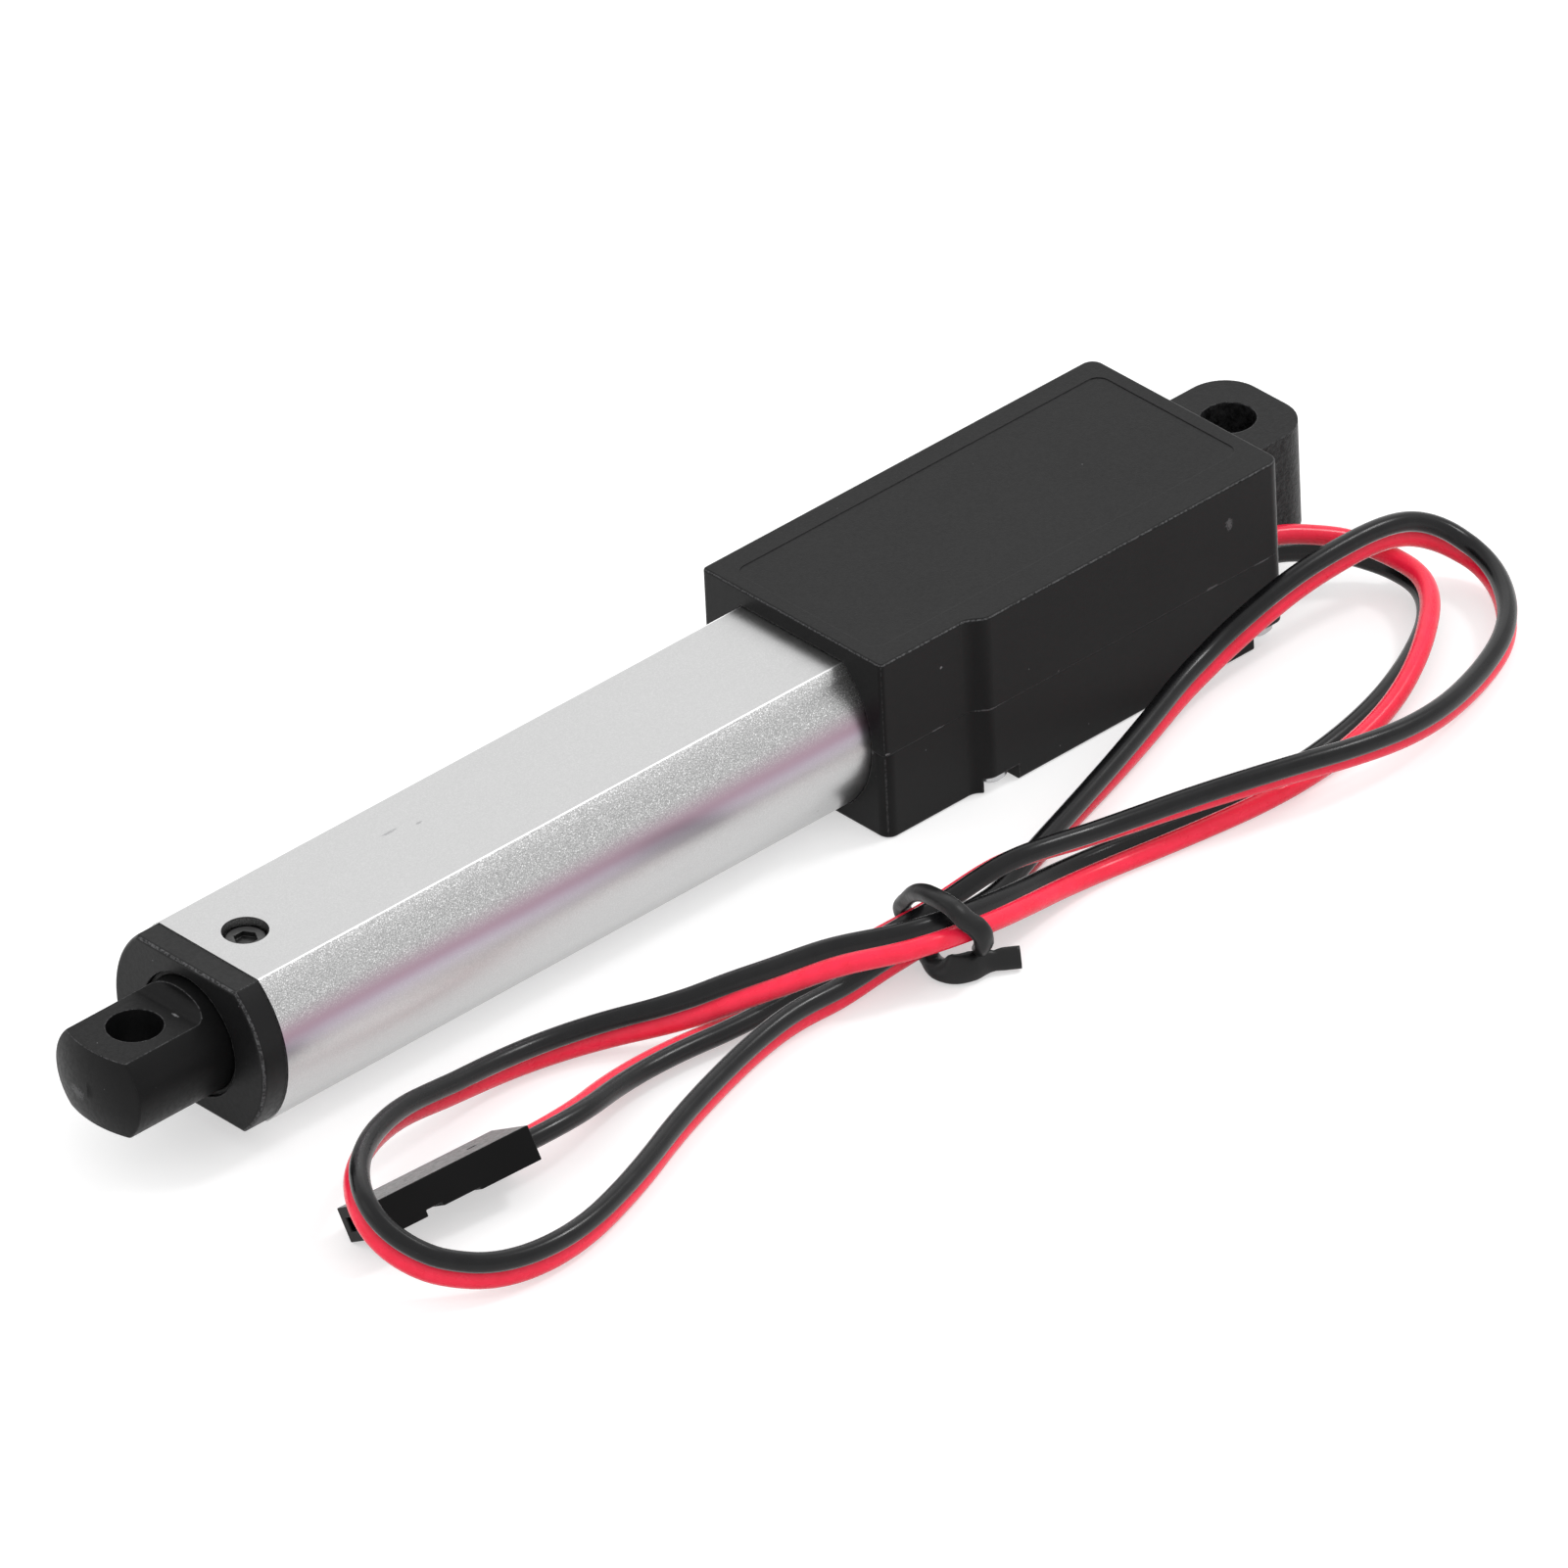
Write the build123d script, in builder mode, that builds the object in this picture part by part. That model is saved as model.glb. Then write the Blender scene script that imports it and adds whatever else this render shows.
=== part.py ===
from build123d import *
from math import pi, radians, degrees, sin, cos, tan, asin, acos, sqrt
import os

os.makedirs("parts", exist_ok=True)

# The origin is the centre of the rear mounting hole; X runs towards the rod's eye, Z up.

# mounting holes and stroke; the rod's head is what its eye stands out beyond the stroke
mount_hole = 4.0
stroke = 50.0
rod_head = 10.6

# housing
housing_start = 4.3
housing_length = 37.1
housing_height = 14.37
housing_half_width = 9.04
side_bulge = 0.88
bulge_inset = 9.5
bulge_ramp = 1.9
wall = 1.3
split_height = -0.3
rear_corner = 1.0
front_corner = 0.35
near_corner = 0.9
recess_depth = 0.05
recess_inset = 1.9
recess_end_inset = 1.25
recess_corner = 1.0

# rear lug
lug_reach = 4.05
lug_half_width = 4.6
lug_half_height = 4.15
lug_corner = 3.0

# housing screws
screw_front_inset = 10.1
screw_rear_inset = 1.65
screw_inset = 1.5
screw_shank = 1.4
screw_head = 2.5
screw_head_height = 0.9
notch_width = 3.0
notch_depth = 1.25
screw_head_edge = 0.3
boss_radius = 1.35
screw_length = 9.0

# tube and its section with two flats
tube_radius = 7.71
tube_flat = 5.79
tube_wall = 0.9
eye_beyond_tube = 6.8
socket_depth = 5.4

# front cap
cap_length = 2.1
cap_radius = 7.6
cap_flat = 5.7
cap_plug = 5.4
cap_hole = 9.3
seal_length = 1.3
seal_recess = 0.3
retainer_place = 3.4
retainer_hole = 3.3
retainer_size = 3.0
retainer_recess = 0.6
retainer_socket = 1.5
retainer_socket_depth = 0.4

# rod and its eye
rod_diameter = 8.56
rod_bore = 5.7
bore_stop = 8.5
eye_thickness = 6.0
eye_flat_start = 3.9
eye_runout = 1.0
nose_reach = 4.55
nose_radius = 9.7
nose_edge = 0.2
nut_length = 3.0
nut_neck = 5.0
nut_margin = 0.4

# screw, coupling and bearing
screw_diameter = 4.0
screw_lead = 2.0
journal_diameter = 2.5
screw_overrun = 1.5
bearing_diameter = 9.0
bearing_length = 2.0
coupling_diameter = 5.5
coupling_length = 3.2
coupling_gap = 0.35

# motor
motor_width = 12.0
motor_height = 10.0
wire_room = 2.9
can_wall = 0.5
end_cap_length = 1.5
end_cap_lip = 0.8
rotor_radius = 3.6
rotor_share = 0.565
rotor_gap = 1.5
rotor_slot_depth = 2.0
rotor_slot_width = 0.7
rotor_shaft = 1.0
magnet_inner = 3.9
magnet_height = 6.0
terminal_length = 1.5
terminal_width = 1.4
terminal_thickness = 0.3
terminal_spacing = 7.0

# gearbox
gear_module = 0.2
pinion_teeth = 10
wheel_teeth = 24
tooth_backlash = 0.04
face_width = 1.2
stage_pitch = 1.7
axle_diameter = 0.74
plate_thickness = 0.7
post_diameter = 1.4
gearbox_clearance = 0.3
train_gap = 0.6

# limit board
board_thickness = 0.8
board_width = 4.0
board_gap = 0.4
board_inset = 0.5
board_end_gap = 1.0
contact_height = 0.5
contact_length = 3.0
contact_width = 1.2
leaf_overhang = 0.5
leaf_width = 0.5
diode_length = 1.7
diode_width = 1.1
diode_height = 0.9
diode_inset = 1.6
diode_spacing = 2.0

# lead, tie and connector
wire_diameter = 1.45
lead_diameter = 2.05
lead_exit_offset = 5.98
lead_exit_height = -2.5
exit_slot_width = 2.11
exit_slot_height = 3.2
connector_length = 13.2
connector_width = 5.08
connector_height = 2.54
connector_wall = 0.4
cavity_inset = 1.0
pin_window = 0.8
pin_window_depth = 1.5
contact_bore = 0.9
lead_straight = 4.6
connector_corner = (86.9, 22.47, -1.93)
tie_diameter = 0.9
inner_wire_diameter = 0.8
inner_wire_offset = 0.52
inner_bend = 0.6
inner_turn = 0.75

# clearances
running = 0.03
sliding = 0.05
seat = 0.02
gap = 0.1

floor = -housing_height / 2
housing_end = housing_start + housing_length
hole_spacing = housing_end + stroke + rod_head
tube_end = hole_spacing - eye_beyond_tube
bulge_end = housing_end - bulge_inset
screw_front = housing_end - screw_front_inset
screw_rear = housing_start + screw_rear_inset
near_front = housing_half_width
near_rear = housing_half_width + side_bulge
inner_tube_radius = tube_radius - tube_wall
inner_tube_flat = tube_flat - tube_wall
tube_start = housing_end - socket_depth
rod_start = tube_start + 2 * gap + nut_length + nut_margin
nut_start = rod_start - nut_length
eye_place = hole_spacing
nose_end = eye_place + nose_reach
bearing_start = tube_start - bearing_length
coupling_end = bearing_start - coupling_gap
coupling_start = coupling_end - coupling_length
wheel_distance = gear_module * (pinion_teeth + wheel_teeth) / 2
front_plate_end = coupling_start - coupling_gap
front_plate_start = front_plate_end - plate_thickness
train_end = front_plate_start - train_gap
train_start = train_end - 3 * stage_pitch - face_width
rear_plate_end = train_start - gearbox_clearance
rear_plate_start = rear_plate_end - plate_thickness
can_end = rear_plate_start
lead_inner_x = housing_start + wall
end_cap_start = lead_inner_x + wire_room
can_start = end_cap_start + end_cap_length
can_length = can_end - can_start
rotor_length = can_length * rotor_share
rotor_start = can_start + end_cap_lip + rotor_gap
stage_start = [train_start + stage * stage_pitch for stage in range(4)]
pinion_tip = gear_module * (pinion_teeth / 2 + 1)
shaft_joint = coupling_start + coupling_length / 2
retainer_x = tube_end - retainer_place
seal_start = tube_end + cap_length - seal_recess - seal_length
bore_end = eye_place - bore_stop
flat_start = eye_place - eye_flat_start
nose_shoulder = nose_end - nose_radius + sqrt(nose_radius**2 - (rod_diameter / 2) ** 2)
board_place = -bearing_diameter / 2 - board_thickness / 2 - board_gap
contact_face = board_place + board_thickness / 2 + contact_height
board_start = front_plate_end + board_inset
board_end = tube_end - cap_plug - board_end_gap
flat_cut_length = nose_end + nose_edge - flat_start
flat_cut_height = rod_diameter
post_places = [(4.2, 3.2), (4.2, -3.2), (-2.6, 4.1), (-2.6, -4.1)]


def gear_outline(teeth, first_tooth, angle_shift=0.0):
    # tooth flanks are three straight cuts each, from root to tip, about a tooth centre
    pitch_radius = gear_module * teeth / 2
    root_radius = pitch_radius - 1.25 * gear_module
    tip_radius = pitch_radius + gear_module
    tooth_angle = (pi * gear_module / 2 - tooth_backlash) / pitch_radius
    points = []
    for tooth in range(teeth):
        centre = first_tooth + 2 * pi * tooth / teeth + angle_shift
        widths = (1.5, 1.0, 0.42)
        radii = (root_radius, pitch_radius, tip_radius)
        for width, radius in zip(widths, radii):
            a = centre - width * tooth_angle / 2
            points.append((radius * cos(a), radius * sin(a)))
        for width, radius in zip(widths[::-1], radii[::-1]):
            a = centre + width * tooth_angle / 2
            points.append((radius * cos(a), radius * sin(a)))
    return points


def across(x):
    # a sketch plane across the actuator at x, whose axes are Y and Z
    return Plane(origin=(x, 0, 0), x_dir=(0, 1, 0), z_dir=(1, 0, 0))


def double_d(radius, flat):
    # circle with a flat at the top and one at the bottom
    with BuildSketch() as section:
        Circle(radius)
        Rectangle(3 * radius, 2 * flat, mode=Mode.INTERSECT)
    return section.sketch


def housing_outline():
    # plan of the housing: the near side steps out behind a smooth ramp
    far = -housing_half_width
    with BuildSketch() as outline:
        with BuildLine():
            Line((housing_end, near_front), (housing_end, far))
            Line((housing_end, far), (housing_start, far))
            Line((housing_start, far), (housing_start, near_rear))
            Line((housing_start, near_rear), (bulge_end, near_rear))
            Spline(
                (bulge_end, near_rear),
                (bulge_end + bulge_ramp, near_front),
                tangents=[(1, 0), (1, 0)],
            )
            Line((bulge_end + bulge_ramp, near_front), (housing_end, near_front))
        make_face()
    return outline.sketch


def cavity_outline():
    # the room for motor and gearbox, one wall inside the outline
    start = housing_start + wall
    middle = (near_rear - housing_half_width) / 2
    with BuildSketch() as room:
        with Locations(((start + bearing_start) / 2, middle)):
            Rectangle(bearing_start - start, near_rear + housing_half_width - 2 * wall)
    return room.sketch


def lug_outline():
    start = -lug_reach
    end = housing_start + wall / 2
    with BuildSketch() as lug:
        with Locations(((start + end) / 2, 0)):
            Rectangle(end - start, 2 * lug_half_width)
        fillet(lug.vertices().group_by(Axis.X)[0], radius=lug_corner)
    return lug.sketch


screw_places = [
    (screw_front, near_rear - screw_inset),
    (screw_rear, near_rear - screw_inset),
    (screw_front, -housing_half_width + screw_inset),
    (screw_rear, -housing_half_width + screw_inset),
]

# upper half of the housing, with the upper half of the lug
with BuildPart() as upper_housing:
    with BuildSketch(Plane.XY.offset(split_height)):
        add(housing_outline())
    extrude(amount=housing_height / 2 - split_height)
    fillet(upper_housing.edges().filter_by(Axis.Z).group_by(Axis.X)[0], radius=rear_corner)
    fillet(upper_housing.edges().filter_by(Axis.Z).group_by(Axis.X)[-1], radius=front_corner)
    fillet(upper_housing.faces().sort_by(Axis.Z)[-1].edges(), radius=0.2)
    with BuildSketch(Plane.XY.offset(split_height)):
        add(lug_outline())
    extrude(amount=lug_half_height - split_height)
    with BuildSketch(Plane.XY.offset(split_height)):
        add(cavity_outline())
    extrude(amount=housing_height / 2 - split_height - wall, mode=Mode.SUBTRACT)
    with BuildSketch(Plane.XY.offset(split_height)):
        with Locations(*screw_places):
            Circle(boss_radius)
    extrude(amount=housing_height / 2 - split_height - wall / 2)
    with BuildSketch(Plane.XY.offset(split_height)):
        with Locations(*screw_places):
            Circle(screw_shank / 2 + seat)
    extrude(amount=screw_length + gap + floor + notch_depth - split_height, mode=Mode.SUBTRACT)
    with BuildSketch(across(tube_start)):
        add(double_d(tube_radius + sliding, tube_flat + sliding))
    extrude(amount=socket_depth + 1, mode=Mode.SUBTRACT)
    with BuildSketch(across(bearing_start - 1)):
        Circle(bearing_diameter / 2 + seat)
    extrude(amount=bearing_length + 1.5, mode=Mode.SUBTRACT)
    with BuildSketch(across(bearing_start - 1)):
        with Locations((board_place, 0)):
            Rectangle(board_thickness + 2 * gap, board_width + 2 * gap)
    extrude(amount=bearing_length + 1.5, mode=Mode.SUBTRACT)
    with BuildSketch(Plane.XY.offset(housing_height / 2 - recess_depth)):
        with Locations(((housing_start + housing_end) / 2, 0)):
            Rectangle(housing_length - 2 * recess_end_inset, 2 * (housing_half_width - recess_inset))
        fillet(vertices(), radius=recess_corner)
    extrude(amount=recess_depth + 1, mode=Mode.SUBTRACT)
    with Locations((0, 0, lug_half_height)):
        Hole(mount_hole / 2, depth=2 * lug_half_height)
upper_housing.part.label = "upper_housing"
export_step(upper_housing.part, "parts/upper_housing.step")

# lower half of the housing, with the lower half of the lug, screw notches and lead opening
with BuildPart() as lower_housing:
    with BuildSketch(Plane.XY.offset(floor)):
        add(housing_outline())
    extrude(amount=split_height - floor)
    fillet(lower_housing.edges().filter_by(Axis.Z).group_by(Axis.X)[0], radius=rear_corner)
    front_edges = lower_housing.edges().filter_by(Axis.Z).group_by(Axis.X)[-1].sort_by(Axis.Y)
    fillet(front_edges[0], radius=front_corner)
    fillet(lower_housing.edges().filter_by(Axis.Z).group_by(Axis.X)[-1].sort_by(Axis.Y)[-1], radius=near_corner)
    fillet(lower_housing.faces().sort_by(Axis.Z)[0].edges(), radius=0.25)
    with BuildSketch(Plane.XY.offset(-lug_half_height)):
        add(lug_outline())
    extrude(amount=lug_half_height + split_height)
    with BuildSketch(Plane.XY.offset(floor + wall)):
        add(cavity_outline())
    extrude(amount=split_height - floor - wall, mode=Mode.SUBTRACT)
    with BuildSketch(Plane.XY.offset(floor + wall / 2)):
        with Locations(*screw_places):
            Circle(boss_radius)
    extrude(amount=split_height - floor - wall / 2)
    with BuildSketch(Plane.XY.offset(floor)):
        for x, y in screw_places:
            side = 1 if y > 0 else -1
            face = near_rear if y > 0 else housing_half_width
            inner = abs(y) - screw_head / 2 - 0.2
            start = x - notch_width / 2 if x > 2 * screw_rear else housing_start - 1
            with Locations(((start + x + notch_width / 2) / 2, side * (inner + face + 1) / 2)):
                Rectangle(x + notch_width / 2 - start, face + 1 - inner)
    extrude(amount=notch_depth, mode=Mode.SUBTRACT)
    with BuildSketch(Plane.XY.offset(floor)):
        with Locations(*screw_places):
            Circle(screw_shank / 2 + sliding)
    extrude(amount=split_height - floor, mode=Mode.SUBTRACT)
    with BuildSketch(across(tube_start)):
        add(double_d(tube_radius + sliding, tube_flat + sliding))
    extrude(amount=socket_depth + 1, mode=Mode.SUBTRACT)
    with BuildSketch(across(bearing_start - 1)):
        Circle(bearing_diameter / 2 + seat)
    extrude(amount=bearing_length + 1.5, mode=Mode.SUBTRACT)
    with BuildSketch(across(bearing_start - 1)):
        with Locations((board_place, 0)):
            Rectangle(board_thickness + 2 * gap, board_width + 2 * gap)
    extrude(amount=bearing_length + 1.5, mode=Mode.SUBTRACT)
    with BuildSketch(across(housing_start - 1)):
        with Locations((lead_exit_offset, lead_exit_height)):
            SlotOverall(exit_slot_height, exit_slot_width, rotation=90)
    extrude(amount=wall + 1.1, mode=Mode.SUBTRACT)
    with Locations((0, 0, split_height)):
        Hole(mount_hole / 2, depth=2 * lug_half_height)
lower_housing.part.label = "lower_housing"
export_step(lower_housing.part, "parts/lower_housing.step")

# four pan head screws, up through the lower half into the upper half
with BuildPart() as housing_screws:
    with BuildSketch(Plane.XY.offset(floor + notch_depth)):
        with Locations(*screw_places):
            Circle(screw_shank / 2)
    extrude(amount=screw_length)
    with BuildSketch(Plane.XY.offset(floor + notch_depth - screw_head_height)):
        with Locations(*screw_places):
            Circle(screw_head / 2)
    extrude(amount=screw_head_height)
    chamfer(housing_screws.edges().filter_by(GeomType.CIRCLE).group_by(Axis.Z)[0], length=screw_head_edge)
housing_screws.part.label = "housing_screws"
export_step(housing_screws.part, "parts/housing_screws.step")

# drawn tube with its two flats
with BuildPart() as tube:
    with BuildSketch(across(tube_start)):
        add(double_d(tube_radius, tube_flat))
        add(double_d(inner_tube_radius, inner_tube_flat), mode=Mode.SUBTRACT)
    extrude(amount=tube_end - tube_start)
    with BuildSketch(Plane.XY.offset(inner_tube_flat - 0.5)):
        with Locations((retainer_x, 0)):
            Circle(retainer_hole / 2)
    extrude(amount=tube_wall + 1, mode=Mode.SUBTRACT)
tube.part.label = "tube"
export_step(tube.part, "parts/tube.step")

# cap whose plug carries the rod and whose recess holds the seal
with BuildPart() as front_cap:
    with BuildSketch(across(tube_end)):
        add(double_d(cap_radius, cap_flat))
    extrude(amount=cap_length)
    fillet(front_cap.faces().sort_by(Axis.X)[-1].edges(), radius=0.3)
    with BuildSketch(across(tube_end - cap_plug)):
        add(double_d(inner_tube_radius - sliding, inner_tube_flat - sliding))
    extrude(amount=cap_plug)
    with BuildSketch(across(tube_end - cap_plug)):
        Circle(rod_diameter / 2 + sliding)
    extrude(amount=cap_plug + cap_length, mode=Mode.SUBTRACT)
    with BuildSketch(across(seal_start)):
        Circle(cap_hole / 2)
    extrude(amount=cap_length, mode=Mode.SUBTRACT)
    with BuildSketch(Plane.XY.offset(rod_diameter / 2 - 0.5)):
        with Locations((retainer_x, 0)):
            Circle(retainer_size / 2 + seat)
    extrude(amount=tube_wall + 1, mode=Mode.SUBTRACT)
front_cap.part.label = "front_cap"
export_step(front_cap.part, "parts/front_cap.step")

# socket screw that holds the cap, sunk in the tube's top flat
with BuildPart() as cap_screw:
    with BuildSketch(Plane.XY.offset(rod_diameter / 2 + gap)):
        with Locations((retainer_x, 0)):
            Circle(retainer_size / 2)
    extrude(amount=tube_flat - retainer_recess - rod_diameter / 2 - gap)
    chamfer(cap_screw.edges().group_by(Axis.Z)[-1], length=0.15)
    with BuildSketch(Plane.XY.offset(tube_flat - retainer_recess - retainer_socket_depth)):
        with Locations((retainer_x, 0)):
            RegularPolygon(retainer_socket / 2, 6, major_radius=False)
    extrude(amount=1, mode=Mode.SUBTRACT)
cap_screw.part.label = "cap_screw"
export_step(cap_screw.part, "parts/cap_screw.step")

with BuildPart() as rod_seal:
    with BuildSketch(across(seal_start)):
        Circle(cap_hole / 2 - seat)
        Circle(rod_diameter / 2 + sliding, mode=Mode.SUBTRACT)
    extrude(amount=seal_length)
rod_seal.part.label = "rod_seal"
export_step(rod_seal.part, "parts/rod_seal.step")

# hollow rod, solid at its nose, with the eye between two milled flats
with BuildPart() as rod:
    with BuildSketch(Plane.XZ):
        with BuildLine():
            nose = RadiusArc((nose_shoulder, rod_diameter / 2), (nose_end, 0), nose_radius)
            Polyline(
                (nose_end, 0),
                (bore_end, 0),
                (bore_end, rod_bore / 2),
                (rod_start, rod_bore / 2),
                (rod_start, rod_diameter / 2),
                (nose_shoulder, rod_diameter / 2),
            )
        make_face()
        fillet(vertices().sort_by_distance((nose_shoulder, rod_diameter / 2))[0], radius=nose_edge)
    revolve(axis=Axis.X)
    for side in (1, -1):
        with BuildSketch(Plane.XZ):
            with Locations((flat_start + flat_cut_length / 2, side * (eye_thickness + flat_cut_height) / 2)):
                Rectangle(flat_cut_length, flat_cut_height)
            fillet(vertices().sort_by_distance((flat_start, side * eye_thickness / 2))[0], radius=eye_runout)
        extrude(amount=rod_diameter, both=True, mode=Mode.SUBTRACT)
    with Locations((eye_place, 0, rod_diameter / 2)):
        Hole(mount_hole / 2, depth=rod_diameter)
rod.part.label = "rod"
export_step(rod.part, "parts/rod.step")

# nut: a flange that the tube's flats keep from turning, cut back beside the limit board
with BuildPart() as drive_nut:
    with BuildSketch(across(nut_start)):
        add(double_d(inner_tube_radius - gap, inner_tube_flat - gap))
        with Locations((contact_face + gap - inner_tube_radius, 0)):
            Rectangle(2 * inner_tube_radius, 2 * inner_tube_radius, mode=Mode.SUBTRACT)
    extrude(amount=nut_length)
    with BuildSketch(across(rod_start)):
        Circle(rod_bore / 2 - seat)
    extrude(amount=nut_neck)
    with BuildSketch(across(nut_start)):
        Circle(screw_diameter / 2 + running)
    extrude(amount=nut_length + nut_neck, mode=Mode.SUBTRACT)
drive_nut.part.label = "drive_nut"
export_step(drive_nut.part, "parts/drive_nut.step")

with BuildPart() as lead_screw:
    with BuildSketch(across(shaft_joint + gap / 2)):
        Circle(journal_diameter / 2)
    extrude(amount=tube_start + gap - shaft_joint - gap / 2)
    with BuildSketch(across(tube_start + gap)):
        Circle(screw_diameter / 2)
    extrude(amount=rod_start + stroke + screw_overrun - tube_start - gap)
    chamfer(lead_screw.edges().group_by(Axis.X)[-1], length=0.4)
lead_screw.part.label = "lead_screw"
export_step(lead_screw.part, "parts/lead_screw.step")

with BuildPart() as screw_bearing:
    with BuildSketch(across(bearing_start)):
        Circle(bearing_diameter / 2)
        Circle(journal_diameter / 2 + running, mode=Mode.SUBTRACT)
    extrude(amount=bearing_length)
screw_bearing.part.label = "screw_bearing"
export_step(screw_bearing.part, "parts/screw_bearing.step")

with BuildPart() as screw_coupling:
    with BuildSketch(across(coupling_start)):
        Circle(coupling_diameter / 2)
        Circle(journal_diameter / 2 + seat, mode=Mode.SUBTRACT)
    extrude(amount=coupling_length)
    chamfer(screw_coupling.edges().filter_by(GeomType.CIRCLE).sort_by(SortBy.RADIUS)[-2:], length=0.3)
screw_coupling.part.label = "screw_coupling"
export_step(screw_coupling.part, "parts/screw_coupling.step")

# gearbox plates, shaped like the motor can
with BuildPart() as gearbox_rear_plate:
    with BuildSketch(across(rear_plate_start)):
        add(double_d(motor_width / 2, motor_height / 2))
        Circle(pinion_tip + 2 * gap, mode=Mode.SUBTRACT)
        with Locations((-wheel_distance, 0)):
            Circle(axle_diameter / 2 + seat, mode=Mode.SUBTRACT)
    extrude(amount=plate_thickness)
gearbox_rear_plate.part.label = "gearbox_rear_plate"
export_step(gearbox_rear_plate.part, "parts/gearbox_rear_plate.step")

with BuildPart() as gearbox_front_plate:
    with BuildSketch(across(front_plate_start)):
        add(double_d(motor_width / 2, motor_height / 2))
        Circle(journal_diameter / 2 + running, mode=Mode.SUBTRACT)
        with Locations((-wheel_distance, 0)):
            Circle(axle_diameter / 2 + seat, mode=Mode.SUBTRACT)
    extrude(amount=plate_thickness)
gearbox_front_plate.part.label = "gearbox_front_plate"
export_step(gearbox_front_plate.part, "parts/gearbox_front_plate.step")

with BuildPart() as gearbox_posts:
    with BuildSketch(across(rear_plate_end)):
        with Locations(*post_places):
            Circle(post_diameter / 2)
    extrude(amount=front_plate_start - rear_plate_end)
gearbox_posts.part.label = "gearbox_posts"
export_step(gearbox_posts.part, "parts/gearbox_posts.step")

with BuildPart() as gear_axle:
    with BuildSketch(across(rear_plate_start)):
        with Locations((-wheel_distance, 0)):
            Circle(axle_diameter / 2)
    extrude(amount=front_plate_end - rear_plate_start)
gear_axle.part.label = "gear_axle"
export_step(gear_axle.part, "parts/gear_axle.step")

# three compound gears: a wheel and a pinion in one piece, on the side axle or on the shaft's pin
with BuildPart() as first_gear:
    with BuildSketch(across(stage_start[0])):
        with Locations((-wheel_distance, 0)):
            Polygon(*gear_outline(wheel_teeth, pi / wheel_teeth), align=None)
            Circle(axle_diameter / 2 + running, mode=Mode.SUBTRACT)
    extrude(amount=face_width)
    with BuildSketch(across(stage_start[0] + face_width)):
        with Locations((-wheel_distance, 0)):
            Polygon(*gear_outline(pinion_teeth, 0), align=None)
            Circle(axle_diameter / 2 + running, mode=Mode.SUBTRACT)
    extrude(amount=stage_pitch)
first_gear.part.label = "first_gear"
export_step(first_gear.part, "parts/first_gear.step")

with BuildPart() as second_gear:
    with BuildSketch(across(stage_start[1])):
        Polygon(*gear_outline(wheel_teeth, pi + pi / wheel_teeth), align=None)
        Circle(axle_diameter / 2 + running, mode=Mode.SUBTRACT)
    extrude(amount=face_width)
    with BuildSketch(across(stage_start[1] + face_width)):
        Polygon(*gear_outline(pinion_teeth, pi), align=None)
        Circle(axle_diameter / 2 + running, mode=Mode.SUBTRACT)
    extrude(amount=stage_pitch)
second_gear.part.label = "second_gear"
export_step(second_gear.part, "parts/second_gear.step")

with BuildPart() as third_gear:
    with BuildSketch(across(stage_start[2])):
        with Locations((-wheel_distance, 0)):
            Polygon(*gear_outline(wheel_teeth, pi / wheel_teeth), align=None)
            Circle(axle_diameter / 2 + running, mode=Mode.SUBTRACT)
    extrude(amount=face_width)
    with BuildSketch(across(stage_start[2] + face_width)):
        with Locations((-wheel_distance, 0)):
            Polygon(*gear_outline(pinion_teeth, 0), align=None)
            Circle(axle_diameter / 2 + running, mode=Mode.SUBTRACT)
    extrude(amount=stage_pitch)
third_gear.part.label = "third_gear"
export_step(third_gear.part, "parts/third_gear.step")

# output wheel on its shaft, whose thin pin carries the second gear
with BuildPart() as output_gear:
    with BuildSketch(across(stage_start[3])):
        Polygon(*gear_outline(wheel_teeth, pi + pi / wheel_teeth), align=None)
    extrude(amount=face_width)
    with BuildSketch(across(stage_start[3] + face_width)):
        Circle(journal_diameter / 2)
    extrude(amount=shaft_joint - gap / 2 - stage_start[3] - face_width)
    with BuildSketch(across(stage_start[1])):
        Circle(axle_diameter / 2)
    extrude(amount=stage_start[3] - stage_start[1])
output_gear.part.label = "output_gear"
export_step(output_gear.part, "parts/output_gear.step")

# motor: flattened can, magnets, end cap, terminals and rotor
with BuildPart() as motor_can:
    with BuildSketch(across(can_start)):
        add(double_d(motor_width / 2, motor_height / 2))
    extrude(amount=can_length)
    with BuildSketch(across(can_start)):
        add(double_d(motor_width / 2 - can_wall, motor_height / 2 - can_wall))
    extrude(amount=can_length - can_wall, mode=Mode.SUBTRACT)
    with BuildSketch(across(can_start)):
        Circle(rotor_shaft / 2 + running)
    extrude(amount=can_length, mode=Mode.SUBTRACT)
motor_can.part.label = "motor_can"
export_step(motor_can.part, "parts/motor_can.step")

with BuildPart() as motor_magnets:
    with BuildSketch(across(rotor_start - 0.3)):
        Circle(motor_width / 2 - can_wall - seat)
        Circle(magnet_inner, mode=Mode.SUBTRACT)
        Rectangle(motor_width, magnet_height, mode=Mode.INTERSECT)
    extrude(amount=rotor_length + 0.6)
motor_magnets.part.label = "motor_magnets"
export_step(motor_magnets.part, "parts/motor_magnets.step")

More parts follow.
